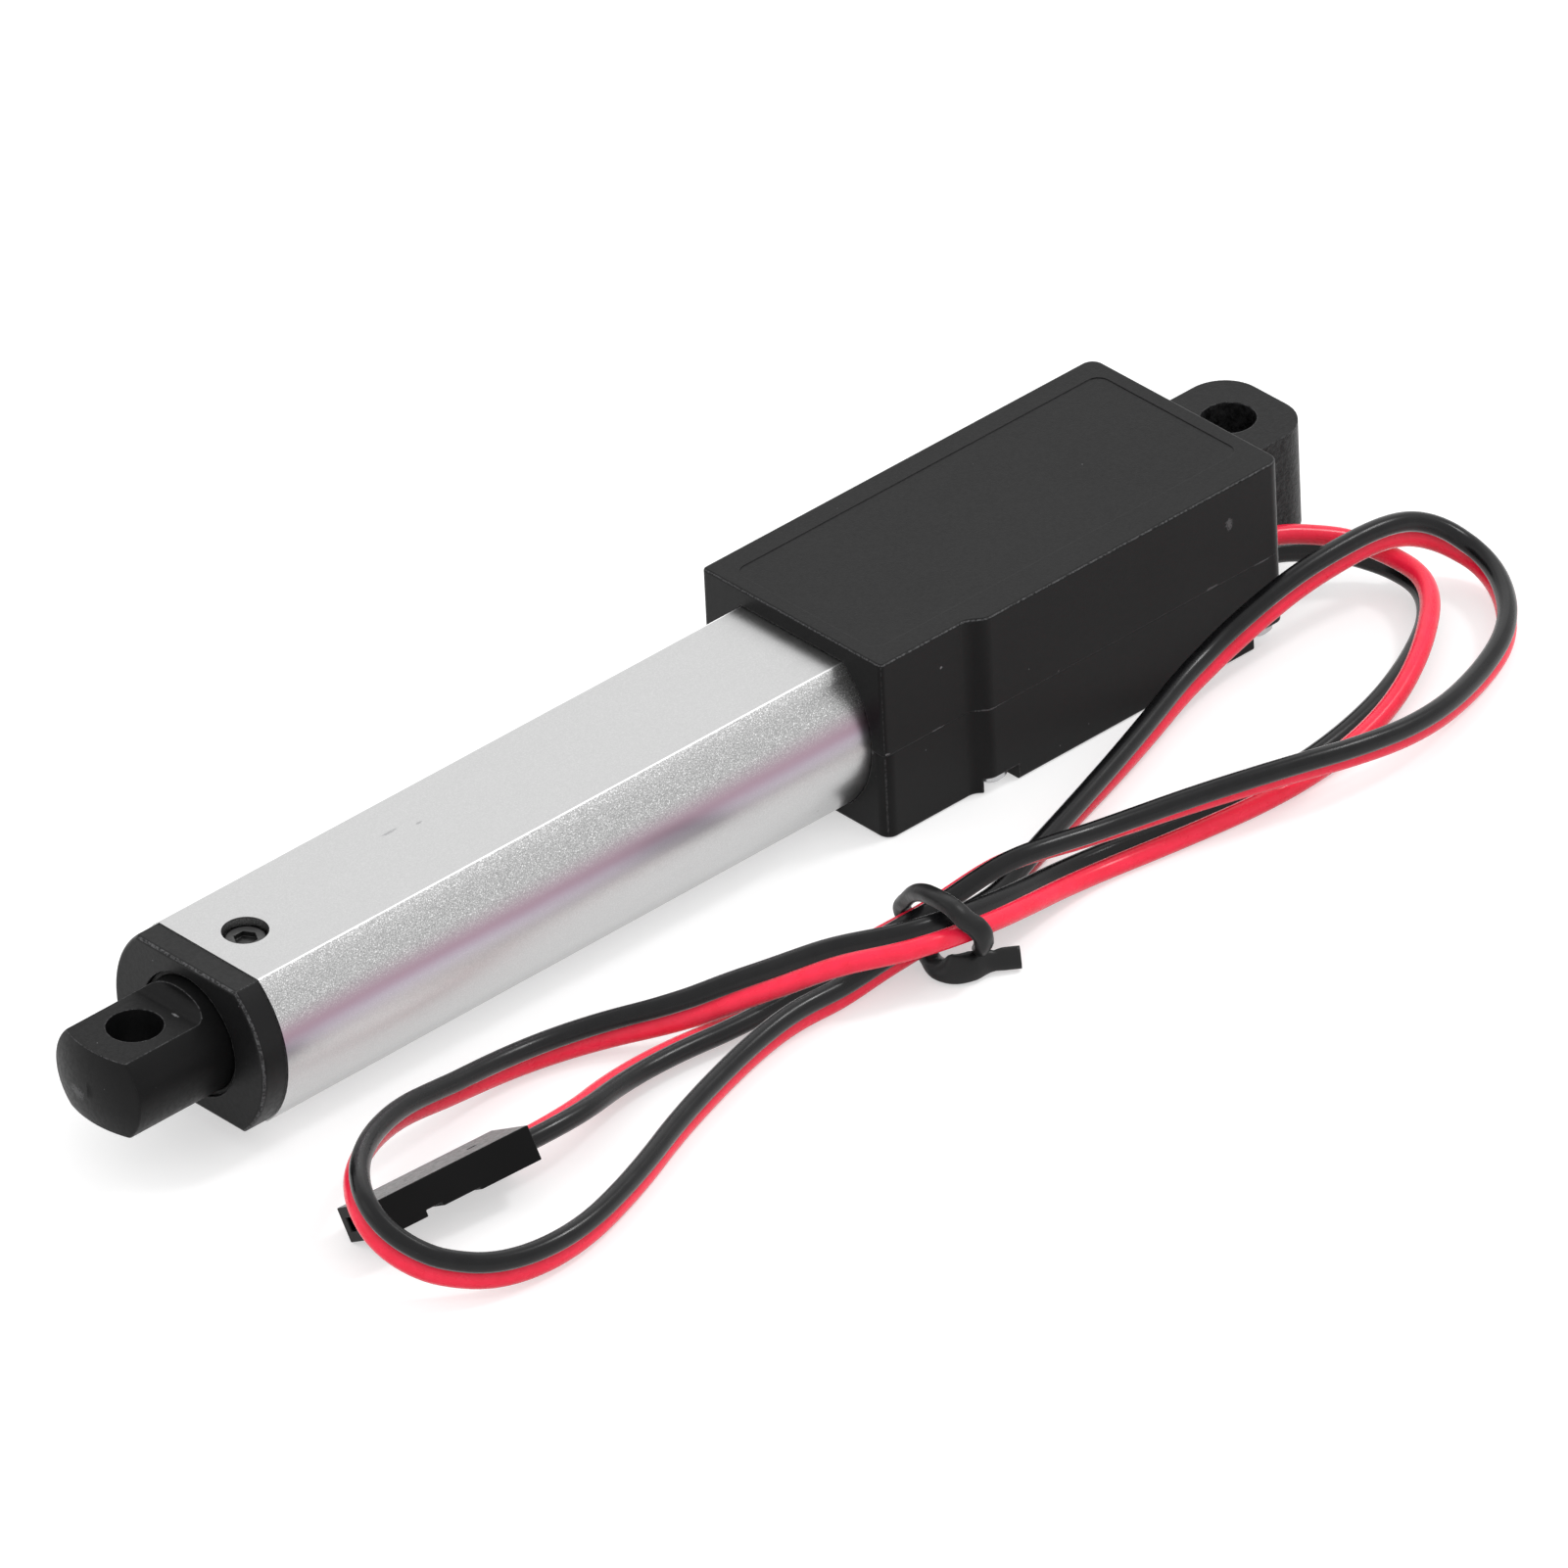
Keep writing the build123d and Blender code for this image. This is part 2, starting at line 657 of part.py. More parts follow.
with BuildPart() as motor_end_cap:
    with BuildSketch(across(end_cap_start)):
        add(double_d(motor_width / 2, motor_height / 2))
    extrude(amount=end_cap_length)
    with BuildSketch(across(can_start)):
        add(double_d(motor_width / 2 - can_wall - seat, motor_height / 2 - can_wall - seat))
    extrude(amount=end_cap_lip)
    with BuildSketch(across(end_cap_start)):
        Circle(rotor_shaft / 2 + running)
    extrude(amount=end_cap_length + end_cap_lip, mode=Mode.SUBTRACT)
motor_end_cap.part.label = "motor_end_cap"
export_step(motor_end_cap.part, "parts/motor_end_cap.step")

with BuildPart() as motor_terminals:
    with BuildSketch(across(end_cap_start - terminal_length)):
        with Locations((terminal_spacing / 2, 0), (-terminal_spacing / 2, 0)):
            Rectangle(terminal_width, terminal_thickness)
    extrude(amount=terminal_length)
motor_terminals.part.label = "motor_terminals"
export_step(motor_terminals.part, "parts/motor_terminals.step")

# rotor: shaft, slotted core and the first pinion
with BuildPart() as motor_rotor:
    with BuildSketch(across(rotor_start)):
        Circle(rotor_radius)
        with PolarLocations(rotor_radius + gap - rotor_slot_depth / 2, 3, start_angle=30):
            Rectangle(rotor_slot_depth, rotor_slot_width, mode=Mode.SUBTRACT)
    extrude(amount=rotor_length)
    with BuildSketch(across(end_cap_start + 0.3)):
        Circle(rotor_shaft / 2)
    extrude(amount=rear_plate_start + gap - end_cap_start - 0.3)
    with BuildSketch(across(rear_plate_start + gap)):
        Polygon(*gear_outline(pinion_teeth, pi), align=None)
    extrude(amount=stage_start[0] + face_width - rear_plate_start - gap)
motor_rotor.part.label = "motor_rotor"
export_step(motor_rotor.part, "parts/motor_rotor.step")

# limit board along the tube's far side, with its two leaf contacts and two diodes
with BuildPart() as limit_board:
    with BuildSketch(across(board_start)):
        with Locations((board_place, 0)):
            Rectangle(board_thickness, board_width)
    extrude(amount=board_end - board_start)
limit_board.part.label = "limit_board"
export_step(limit_board.part, "parts/limit_board.step")

with BuildPart() as limit_contacts:
    with BuildSketch(Plane.XZ.offset(-contact_face + contact_height)):
        with Locations((nut_start + contact_length / 2, 0), (board_end - contact_length, 0)):
            Rectangle(contact_length, contact_width)
            Rectangle(contact_length + 2 * leaf_overhang, leaf_width)
    extrude(amount=-contact_height)
limit_contacts.part.label = "limit_contacts"
export_step(limit_contacts.part, "parts/limit_contacts.step")

with BuildPart() as board_diodes:
    with BuildSketch(Plane.XZ.offset(-contact_face + contact_height)):
        with Locations(
            (board_start + diode_inset, diode_spacing / 2),
            (board_start + diode_inset, -diode_spacing / 2),
        ):
            Rectangle(diode_length, diode_width)
    extrude(amount=-diode_height)
board_diodes.part.label = "board_diodes"
export_step(board_diodes.part, "parts/board_diodes.step")


def bent_path(points, share=0.45):
    # arcs as large as their two runs allow; returns the corner radii as well
    corners = [Vector(p) for p in points]
    radii = []
    for before, here, after in zip(corners, corners[1:], corners[2:]):
        turn = radians((here - before).get_angle(after - here))
        shorter = min((here - before).length, (after - here).length)
        radii.append(share * shorter / tan(turn / 2))
    return corners, radii


# two short wires inside, from the lead to the motor's terminals
wire_turn_x = lead_inner_x + inner_turn
tab_x = end_cap_start - terminal_length
with BuildPart() as inner_wires:
    for height, tab in ((inner_wire_offset, 1), (-inner_wire_offset, -1)):
        start = (lead_inner_x, lead_exit_offset, lead_exit_height + height)
        tab_y = tab * terminal_spacing / 2
        route = [
            start,
            (wire_turn_x, lead_exit_offset, lead_exit_height + height),
            (wire_turn_x, tab_y, 0),
            (tab_x, tab_y, 0),
        ]
        with BuildLine() as wire_line:
            FilletPolyline(*route, radius=[inner_bend, inner_bend])
        with BuildSketch(Plane(origin=start, z_dir=(1, 0, 0))):
            Circle(inner_wire_diameter / 2)
        sweep(path=wire_line.wire())
inner_wires.part.label = "inner_wires"
export_step(inner_wires.part, "parts/inner_wires.step")

# the connector's sketch axes run across its wide face and down
connector_plane = Plane(
    origin=connector_corner,
    x_dir=(-0.085, -0.845, -0.530),
    z_dir=(0.9962, -0.0843, -0.0307),
)
connector_entry = connector_plane.from_local_coords((connector_width / 2, connector_height / 2, 0))
connector_run = connector_plane.from_local_coords((connector_width / 2, connector_height / 2, -lead_straight))

# the free lead: out of the slot, round the two right loops and the left loop, through the tie
lead_route = [
    (lead_inner_x, lead_exit_offset, lead_exit_height),
    (housing_start - 0.7, lead_exit_offset, lead_exit_height),
    (1.6, 6.4, -2.6),
    (-1.1, 7.5, -3.4),
    (-3.3, 8.7, -4.1),
    (-4.8, 10.9, -4.8),
    (-4.9, 13.8, -5.4),
    (-3.1, 16.7, -5.7),
    (0.3, 19.3, -5.8),
    (4.0, 21.3, -6.0),
    (8.4, 22.9, -6.1),
    (13.9, 24.0, -6.15),
    (20.0, 24.4, -6.15),
    (27.7, 23.5, -6.15),
    (36.2, 22.1, -6.15),
    (45.1, 24.3, -4.0),
    (52.4, 24.5, -2.6),
    (57.7, 20.9, -3.7),
    (63.1, 19.1, -3.8),
    (68.2, 16.8, -4.7),
    (72.6, 13.6, -5.8),
    (78.4, 12.0, -5.9),
    (85.8, 12.7, -4.4),
    (91.5, 13.6, -3.2),
    (97.2, 16.6, -2.3),
    (101.3, 21.3, -1.6),
    (101.8, 24.7, -3.1),
    (100.0, 27.7, -4.7),
    (96.5, 30.4, -5.7),
    (90.6, 31.0, -5.9),
    (83.2, 28.7, -6.1),
    (74.8, 25.0, -6.1),
    (63.7, 21.6, -6.15),
    (55.5, 21.8, -5.6),
    (49.4, 22.3, -4.9),
    (40.4, 20.4, -5.6),
    (32.2, 17.4, -6.15),
    (23.2, 14.6, -5.6),
    (14.0, 11.3, -4.8),
    (6.8, 11.25, -2.7),
    (1.9, 11.25, -2.0),
    (-3.1, 11.4, -2.0),
    (-7.5, 11.9, -3.3),
    (-9.4, 14.6, -4.9),
    (-8.4, 18.5, -5.9),
    (-4.8, 22.8, -6.0),
    (0.4, 25.4, -6.0),
    (7.3, 27.7, -5.1),
    (14.1, 27.8, -4.1),
    (20.1, 26.3, -3.7),
    (26.5, 24.2, -3.8),
    (33.3, 22.4, -3.9),
    (39.5, 21.6, -3.3),
    (45.8, 20.5, -4.7),
    (51.7, 19.3, -5.3),
    (57.1, 19.1, -6.15),
    (64.2, 19.1, -6.15),
    (69.9, 18.4, -6.1),
    (75.5, 18.7, -5.8),
    connector_run,
    connector_entry,
]
lead_corners, lead_radii = bent_path(lead_route)
with BuildPart() as power_lead:
    with BuildLine() as lead_line:
        FilletPolyline(*lead_corners, radius=lead_radii)
    with BuildSketch(Plane(origin=lead_corners[0], z_dir=lead_corners[1] - lead_corners[0])):
        Circle(lead_diameter / 2)
    sweep(path=lead_line.wire())
power_lead.part.label = "power_lead"
export_step(power_lead.part, "parts/power_lead.step")
print("lead radii", [round(r, 1) for r in lead_radii])
lead_length = lead_line.wire().length
lead_section = pi * lead_diameter**2 / 4
print("lead length", round(lead_length, 1), "volume ratio", power_lead.part.volume / lead_length / lead_section)

# twist tie round the bundle, with its clipped tail
tie_route = [
    (48.6, 25.4, -5.3),
    (49.3, 27.0, -3.4),
    (49.6, 26.3, -1.5),
    (49.1, 23.2, -1.2),
    (47.8, 19.2, -2.8),
    (47.5, 17.1, -4.4),
    (48.2, 17.0, -6.65),
    (50.3, 21.8, -6.65),
    (50.9, 25.4, -6.65),
    (49.4, 27.2, -6.6),
    (46.2, 27.6, -6.5),
]
tie_corners, tie_radii = bent_path(tie_route)
with BuildPart() as cable_tie:
    with BuildLine() as tie_line:
        FilletPolyline(*tie_corners, radius=tie_radii)
    with BuildSketch(Plane(origin=tie_corners[0], z_dir=tie_corners[1] - tie_corners[0])):
        Circle(tie_diameter / 2)
    sweep(path=tie_line.wire())
cable_tie.part.label = "cable_tie"
export_step(cable_tie.part, "parts/cable_tie.step")

# two-way connector, rolled onto its long edge
cell = connector_width / 2
cell_places = [(cell / 2, connector_height / 2), (3 * cell / 2, connector_height / 2)]
with BuildPart() as connector_housing:
    with BuildSketch(connector_plane):
        with Locations((connector_width / 2, connector_height / 2)):
            Rectangle(connector_width, connector_height)
    extrude(amount=connector_length)
    chamfer(connector_housing.edges().sort_by_distance(connector_plane.from_local_coords(
        (0, connector_height / 2, connector_length)))[0], length=0.2)
    with BuildSketch(connector_plane.offset(cavity_inset)):
        with Locations(*cell_places):
            Rectangle(cell - 2 * connector_wall, connector_height - 2 * connector_wall)
    extrude(amount=connector_length - 2 * cavity_inset, mode=Mode.SUBTRACT)
    with BuildSketch(connector_plane.offset(connector_length - pin_window_depth)):
        with Locations(*cell_places):
            Rectangle(pin_window, pin_window)
    extrude(amount=2 * pin_window_depth, mode=Mode.SUBTRACT)
connector_housing.part.label = "connector_housing"
export_step(connector_housing.part, "parts/connector_housing.step")

with BuildPart() as connector_contacts:
    with BuildSketch(connector_plane.offset(cavity_inset + gap)):
        with Locations(*cell_places):
            Rectangle(cell - 2 * connector_wall - 2 * gap, connector_height - 2 * connector_wall - 2 * gap)
            Rectangle(contact_bore, contact_bore, mode=Mode.SUBTRACT)
    extrude(amount=connector_length - 2 * cavity_inset - 2 * gap)
connector_contacts.part.label = "connector_contacts"
export_step(connector_contacts.part, "parts/connector_contacts.step")
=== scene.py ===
import math

import bmesh
import bpy
import numpy as np
from mathutils import Matrix, Vector


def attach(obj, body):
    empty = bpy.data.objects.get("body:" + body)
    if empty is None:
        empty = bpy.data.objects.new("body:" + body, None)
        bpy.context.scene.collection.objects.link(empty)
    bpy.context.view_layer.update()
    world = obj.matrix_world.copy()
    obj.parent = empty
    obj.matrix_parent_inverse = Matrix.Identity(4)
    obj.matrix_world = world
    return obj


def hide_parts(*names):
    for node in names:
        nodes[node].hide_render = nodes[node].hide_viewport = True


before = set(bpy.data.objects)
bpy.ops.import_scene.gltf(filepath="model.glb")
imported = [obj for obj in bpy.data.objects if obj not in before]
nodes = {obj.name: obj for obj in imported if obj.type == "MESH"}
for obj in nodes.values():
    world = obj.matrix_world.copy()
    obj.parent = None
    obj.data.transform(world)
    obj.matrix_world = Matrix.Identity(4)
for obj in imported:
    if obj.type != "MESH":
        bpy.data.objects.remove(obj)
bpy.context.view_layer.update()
floorHeight = -0.007185      # what the part lies on
print("frame loaded:", len(nodes), "nodes")


def selectOnly(*objects):
    bpy.ops.object.select_all(action="DESELECT")
    for item in objects:
        item.select_set(True)
    bpy.context.view_layer.objects.active = objects[0]


def splinePoints(rows):
    # the line of a NURBS spline that has these points as its control points
    curve = bpy.data.curves.new("routeLine", "CURVE")
    curve.dimensions = "3D"
    curve.resolution_u = 16
    spline = curve.splines.new("NURBS")
    spline.points.add(len(rows) - 1)
    for point, row in zip(spline.points, rows):
        point.co = (row[0], row[1], row[2], 1.0)
    spline.order_u = 3
    spline.use_endpoint_u = True
    holder = bpy.data.objects.new("routeLine", curve)
    bpy.context.scene.collection.objects.link(holder)
    bpy.context.view_layer.update()
    graph = bpy.context.evaluated_depsgraph_get()
    line = bpy.data.meshes.new_from_object(holder.evaluated_get(graph))
    points = np.array([v.co for v in line.vertices], float)
    bpy.data.meshes.remove(line)
    bpy.data.objects.remove(holder)
    bpy.data.curves.remove(curve)
    return points


def spacedEvenly(points, step):
    runs = np.linalg.norm(np.diff(points, axis=0), axis=1)
    along = np.concatenate([[0.0], np.cumsum(runs)])
    count = int(round(along[-1] / step))
    wanted = np.linspace(0, along[-1], count + 1)
    return np.stack([np.interp(wanted, along, points[:, i]) for i in range(3)], 1), wanted


def alongAt(points, along, rows, window):
    # where on the line each row's point comes nearest, in order
    start, places = 0, []
    for row in rows:
        start += int(np.argmin(np.linalg.norm(points[start:start + window] - row[:3], axis=1)))
        places.append(along[start])
    places[-1] = along[-1]
    return places


def directions(points):
    tangents = np.gradient(points, axis=0)
    return tangents / np.linalg.norm(tangents, axis=1)[:, None]


def meshFromRings(name, rings, materialOfFace, sharpColumns=()):
    # rings of equal size joined into a closed tube with capped ends
    count, around = len(rings), len(rings[0])
    mesh = bpy.data.meshes.new(name)
    built = bmesh.new()
    verts = [[built.verts.new(p) for p in ring] for ring in rings]
    uvLayer = built.loops.layers.uv.new("alongAround")
    for i in range(count - 1):
        for j in range(around):
            k = (j + 1) % around
            face = built.faces.new((verts[i][j], verts[i][k], verts[i + 1][k], verts[i + 1][j]))
            face.smooth = True
            face.material_index = materialOfFace(j)
            for loop, (a, b) in zip(face.loops, ((i, j), (i, j + 1), (i + 1, j + 1), (i + 1, j))):
                loop[uvLayer].uv = (a / count, b / around)
    for end in (verts[0][::-1], verts[-1]):
        built.faces.new(end)
    built.edges.ensure_lookup_table()
    for i in range(count - 1):
        for j in sharpColumns:
            edge = built.edges.get((verts[i][j], verts[i + 1][j]))
            edge.smooth = False
    bmesh.ops.recalc_face_normals(built, faces=built.faces)
    built.to_mesh(mesh)
    built.free()
    piece = bpy.data.objects.new(name, mesh)
    bpy.context.scene.collection.objects.link(piece)
    return piece


# fitted to the photograph: metres, degrees and millimetres
camera = {
    "place": (1.00855, 1.09912, 0.96129),
    "azimuth": 138.694,
    "elevation": 33.466,
    "roll": -2.7925,
    "lens": 584.6,
    "sensor": 36,
    "clip": (0.05, 20),
}


def makeCamera():
    a, e, r = (math.radians(camera[k]) for k in ("azimuth", "elevation", "roll"))
    back = Vector((math.sin(a) * math.cos(e), -math.cos(a) * math.cos(e), math.sin(e)))
    right = Vector((math.cos(a), math.sin(a), 0))
    up = back.cross(right)
    rolledRight = math.cos(r) * right + math.sin(r) * up
    rolledUp = -math.sin(r) * right + math.cos(r) * up
    turn = Matrix((rolledRight, rolledUp, back)).transposed()
    data = bpy.data.cameras.new("photoCamera")
    data.lens = camera["lens"]
    data.sensor_width = camera["sensor"]
    data.clip_start, data.clip_end = camera["clip"]
    holder = bpy.data.objects.new("photoCamera", data)
    bpy.context.scene.collection.objects.link(holder)
    holder.matrix_world = Matrix.Translation(Vector(camera["place"])) @ turn.to_4x4()
    bpy.context.scene.camera = holder


makeCamera()


def newMaterial(name):
    material = bpy.data.materials.new(name)
    material.use_nodes = True
    tree = material.node_tree
    shader = tree.nodes["Principled BSDF"]
    return material, tree, shader


def addNode(tree, kind, **settings):
    node = tree.nodes.new(kind)
    for key, value in settings.items():
        if hasattr(node, key) and key not in node.inputs:
            setattr(node, key, value)
        else:
            node.inputs[key].default_value = value
    return node


def objectPlace(tree, scale=(1, 1, 1)):
    place = tree.nodes.new("ShaderNodeTexCoord")
    mapping = tree.nodes.new("ShaderNodeMapping")
    mapping.inputs["Scale"].default_value = scale
    tree.links.new(place.outputs["Object"], mapping.inputs["Vector"])
    return mapping.outputs["Vector"]


def noiseAt(tree, vector, scale, detail=3.0, roughness=0.55):
    noise = addNode(tree, "ShaderNodeTexNoise", Scale=scale, Detail=detail, Roughness=roughness)
    tree.links.new(vector, noise.inputs["Vector"])
    return noise.outputs["Fac"]


def ramp(tree, value, stops):
    node = tree.nodes.new("ShaderNodeValToRGB")
    while len(node.color_ramp.elements) < len(stops):
        node.color_ramp.elements.new(0.5)
    for element, (place, shade) in zip(node.color_ramp.elements, stops):
        element.position = place
        element.color = (*shade, 1) if len(shade) == 3 else shade
    tree.links.new(value, node.inputs["Fac"])
    return node.outputs["Color"]


def greys(*stops):
    return [(place, (level,) * 3) for place, level in stops]


def sums(tree, operation, first, second=None, third=None):
    # one step of arithmetic; each value is a number or a socket
    node = addNode(tree, "ShaderNodeMath", operation=operation)
    for i, value in enumerate((first, second, third)):
        if value is None:
            continue
        if isinstance(value, (int, float)):
            node.inputs[i].default_value = value
        else:
            tree.links.new(value, node.inputs[i])
    return node.outputs[0]


def product(tree, *values):
    total = values[0]
    for value in values[1:]:
        total = sums(tree, "MULTIPLY", total, value)
    return total


def awayFrom(tree, value, middle):
    # how far the value is from the middle, on either side
    return sums(tree, "ABSOLUTE", sums(tree, "SUBTRACT", value, middle))


def vectorSums(tree, operation, first, second=None):
    # one step with vectors; each is a tuple or a socket
    node = addNode(tree, "ShaderNodeVectorMath", operation=operation)
    for i, value in enumerate((first, second)):
        if isinstance(value, tuple):
            node.inputs[i].default_value = value
        elif value is not None:
            tree.links.new(value, node.inputs[i])
    return node.outputs["Value" if operation in ("LENGTH", "DOT_PRODUCT") else "Vector"]


def spread(tree, value, low, high, first=0.0, last=1.0, kind="SMOOTHSTEP"):
    # low..high of the value becomes first..last
    node = tree.nodes.new("ShaderNodeMapRange")
    node.interpolation_type = kind
    tree.links.new(value, node.inputs["Value"])
    for key, number in (("From Min", low), ("From Max", high), ("To Min", first), ("To Max", last)):
        node.inputs[key].default_value = number
    return node.outputs[0]


def mixShade(tree, share, first, second, kind="RGBA"):
    # a share of 0 gives the first; the kind VECTOR mixes directions in place of colours
    node = addNode(tree, "ShaderNodeMix", data_type=kind)
    tree.links.new(share, node.inputs["Factor"])
    for key, value in (("A", first), ("B", second)):
        if isinstance(value, tuple):
            node.inputs[key].default_value = (*value, 1)
        else:
            tree.links.new(value, node.inputs[key])
    return node.outputs["Result"]


def axesOf(tree, vector):
    split = tree.nodes.new("ShaderNodeSeparateXYZ")
    tree.links.new(vector, split.inputs[0])
    return split.outputs["X"], split.outputs["Y"], split.outputs["Z"]


def bumpFrom(tree, shader, heights, normal=None):
    # heights are (value, distance in metres, strength), one bump after the other
    for value, distance, strength in heights:
        bump = addNode(tree, "ShaderNodeBump", Strength=strength, Distance=distance)
        tree.links.new(value, bump.inputs["Height"])
        if normal is not None:
            tree.links.new(normal, bump.inputs["Normal"])
        normal = bump.outputs["Normal"]
    tree.links.new(normal, shader.inputs["Normal"])


def softEdges(tree, radius):
    # a moulded edge is never quite sharp: gives the rounded normal and how near an edge is
    rounded = addNode(tree, "ShaderNodeBevel", Radius=radius)
    rounded.samples = 6
    plain = tree.nodes.new("ShaderNodeNewGeometry")
    turned = vectorSums(tree, "DOT_PRODUCT", rounded.outputs["Normal"], plain.outputs["Normal"])
    return rounded.outputs["Normal"], spread(tree, turned, 0.993, 0.955, kind="LINEAR")


def dustSpecks(tree, vector, spacing, size, share):
    # small light points, one in some of the cells of a loose net
    cells = addNode(tree, "ShaderNodeTexVoronoi", Scale=1 / spacing)
    tree.links.new(vector, cells.inputs["Vector"])
    near = spread(tree, cells.outputs["Distance"], size / spacing, 0.5 * size / spacing)
    red = tree.nodes.new("ShaderNodeSeparateColor")
    tree.links.new(cells.outputs["Color"], red.inputs[0])
    picked = sums(tree, "GREATER_THAN", red.outputs[0], 1 - share)
    return product(tree, near, picked)


def markAt(tree, vector, place, radii):
    # a ragged scuff: one inside the three radii round a place, in metres
    moved = vectorSums(tree, "SUBTRACT", vector, place)
    size = vectorSums(tree, "LENGTH", vectorSums(tree, "DIVIDE", moved, radii))
    ragged = noiseAt(tree, vector, 7000, 5, 0.75)
    reach = sums(tree, "MULTIPLY_ADD", ragged, 3.0, size)
    return product(tree, spread(tree, reach, 2.25, 1.9), spread(tree, size, 1.0, 0.6))


def allMarks(tree, vector, rows):
    # rows are place, radii and strength
    return [product(tree, markAt(tree, vector, place, radii), strength) for place, radii, strength in rows]


def anyOf(tree, masks):
    total = masks[0]
    for mask in masks[1:]:
        total = sums(tree, "MAXIMUM", total, mask)
    return total


# the housing as its finish needs it, in metres
shell = {
    "seamHeight": -0.0003,
    "lidHeight": 0.0070,
    "lidMiddle": 0.02285,
    "lidHalfLength": 0.0180,
    "lidHalfWidth": 0.0086,
    "lidFade": 0.0003,
    "boxRear": 0.0043,         # the lug stands out behind this
    "stepMiddle": 0.0325,
}


def roundedOff(tree, kind, x):
    # the moulded roundings, which get a painted highlight: of the box in front of the lug, or round the front
    # of the cap
    facing = tree.nodes.new("ShaderNodeNewGeometry")
    nx, ny, nz = (sums(tree, "ABSOLUTE", part) for part in axesOf(tree, facing.outputs["Normal"]))
    if kind == "cap":
        return product(tree, spread(tree, nx, 0.30, 0.45), spread(tree, nx, 0.93, 0.85))
    lip = product(tree, spread(tree, nz, 0.35, 0.5), spread(tree, nz, 0.90, 0.80))
    upright = spread(tree, sums(tree, "MAXIMUM", nx, ny), 0.78, 0.74)
    offStep = spread(tree, awayFrom(tree, x, shell["stepMiddle"]), 0.0022, 0.0028)
    corner = product(tree, upright, spread(tree, nz, 0.3, 0.2, 0.0, 0.5), offStep)
    onBox = spread(tree, x, shell["boxRear"] - 0.0001, shell["boxRear"])
    return product(tree, sums(tree, "MAXIMUM", lip, corner), onBox)


def onLid(tree, x, y, z):
    # one over the shallow recess and its ledge, at the top and at the same place below
    fade, halfLength, halfWidth = shell["lidFade"], shell["lidHalfLength"], shell["lidHalfWidth"]
    high = spread(tree, sums(tree, "ABSOLUTE", z), shell["lidHeight"] - 0.00005, shell["lidHeight"])
    within = spread(tree, sums(tree, "ABSOLUTE", y), halfWidth, halfWidth - fade)
    along = spread(tree, awayFrom(tree, x, shell["lidMiddle"]), halfLength, halfLength - fade)
    return product(tree, high, within, along)


def turnedUp(tree, normal, share):
    upward = addNode(tree, "ShaderNodeVectorTransform", vector_type="NORMAL",
                     convert_from="OBJECT", convert_to="WORLD")
    upward.inputs[0].default_value = (0, 0, 1)
    return mixShade(tree, share, normal, upward.outputs[0], "VECTOR")


def lugChips(tree, vector, x):
    # the rear lug comes out of the mould rougher and paler on its sides
    facing = tree.nodes.new("ShaderNodeNewGeometry")
    upward = axesOf(tree, facing.outputs["Normal"])[2]
    onLug = spread(tree, x, shell["boxRear"], shell["boxRear"] - 0.0007)
    broken = spread(tree, noiseAt(tree, vector, 2200, 5, 0.7), 0.35, 0.75)
    return product(tree, onLug, broken, spread(tree, upward, 0.9, 0.5, 0.1, 1.0))


# what all moulded pieces share; scales are waves per metre
plastic = {
    "broadScale": 90,
    "brokenScale": 5200,
    "edgeRadius": 0.00012,
    "edgeHighlightAndWear": 0.5,
    "highlightAndWearShade": (0.16, 0.16, 0.165),
    "speckSpacing": 0.0013,
    "speckSize": 0.000055,
    "speckStrength": 0.8,
    "chipStrength": 0.16,
    "chipDepth": 0.00006,
}


def mouldedPlastic(name, finish):
    material, tree, shader = newMaterial(name)
    vector = objectPlace(tree)
    x, y, z = axesOf(tree, vector)
    fine = noiseAt(tree, vector, 1 / finish["grain"], 3)
    broad = noiseAt(tree, vector, plastic["broadScale"], 3)
    gloss = noiseAt(tree, vector, 0.4 / finish["grain"], 2)
    normal, edge = softEdges(tree, finish.get("edge", plastic["edgeRadius"]))
    broken = spread(tree, noiseAt(tree, vector, plastic["brokenScale"], 5, 0.7), 0.36, 0.66)
    masks = allMarks(tree, vector, finish.get("marks", ()))
    heights = [(fine, finish["grainDepth"], 0.6)]
    if finish.get("parting"):
        # the seam of the two shells and the shallow recess in the lid stay quiet
        fromSeam = awayFrom(tree, z, shell["seamHeight"])
        lid = onLid(tree, x, y, z)
        broken = product(tree, broken, spread(tree, fromSeam, 0.0002, 0.0005, 0.12, 1.0),
                         sums(tree, "MULTIPLY_ADD", lid, -0.95, 1.0))
        normal = turnedUp(tree, normal, product(tree, lid, spread(tree, z, 0.0, 0.001, 0.0, 0.85)))
        chips = lugChips(tree, vector, x)
        masks.append(product(tree, chips, plastic["chipStrength"]))
        heights.append((chips, plastic["chipDepth"], 0.8))
    if finish.get("rounds"):
        edge = sums(tree, "MAXIMUM", edge, roundedOff(tree, finish["rounds"], x))
    # edges and roundings are painted lighter: a painted highlight, with some wear
    masks.append(product(tree, edge, broken, finish.get("edgeHighlightAndWear", plastic["edgeHighlightAndWear"])))
    if finish.get("specks"):
        specks = dustSpecks(tree, vector, plastic["speckSpacing"], plastic["speckSize"], finish["specks"])
        masks.append(product(tree, specks, plastic["speckStrength"]))
    plain = mixShade(tree, spread(tree, broad, 0.3, 0.7), finish["dark"], finish["light"])
    shade = mixShade(tree, anyOf(tree, masks), plain, finish.get("highlightAndWear", plastic["highlightAndWearShade"]))
    tree.links.new(shade, shader.inputs["Base Color"])
    low, high = finish["roughness"]
    tree.links.new(ramp(tree, gloss, greys((0.35, low), (0.65, high))), shader.inputs["Roughness"])
    shader.inputs["Specular IOR Level"].default_value = finish["specular"]
    bumpFrom(tree, shader, heights, normal)
    return material


def paintedOn(material, *names):
    for name in names:
        node = nodes[name]
        if not node.material_slots:
            node.data.materials.append(material)
        for slot in node.material_slots:
            slot.material = material


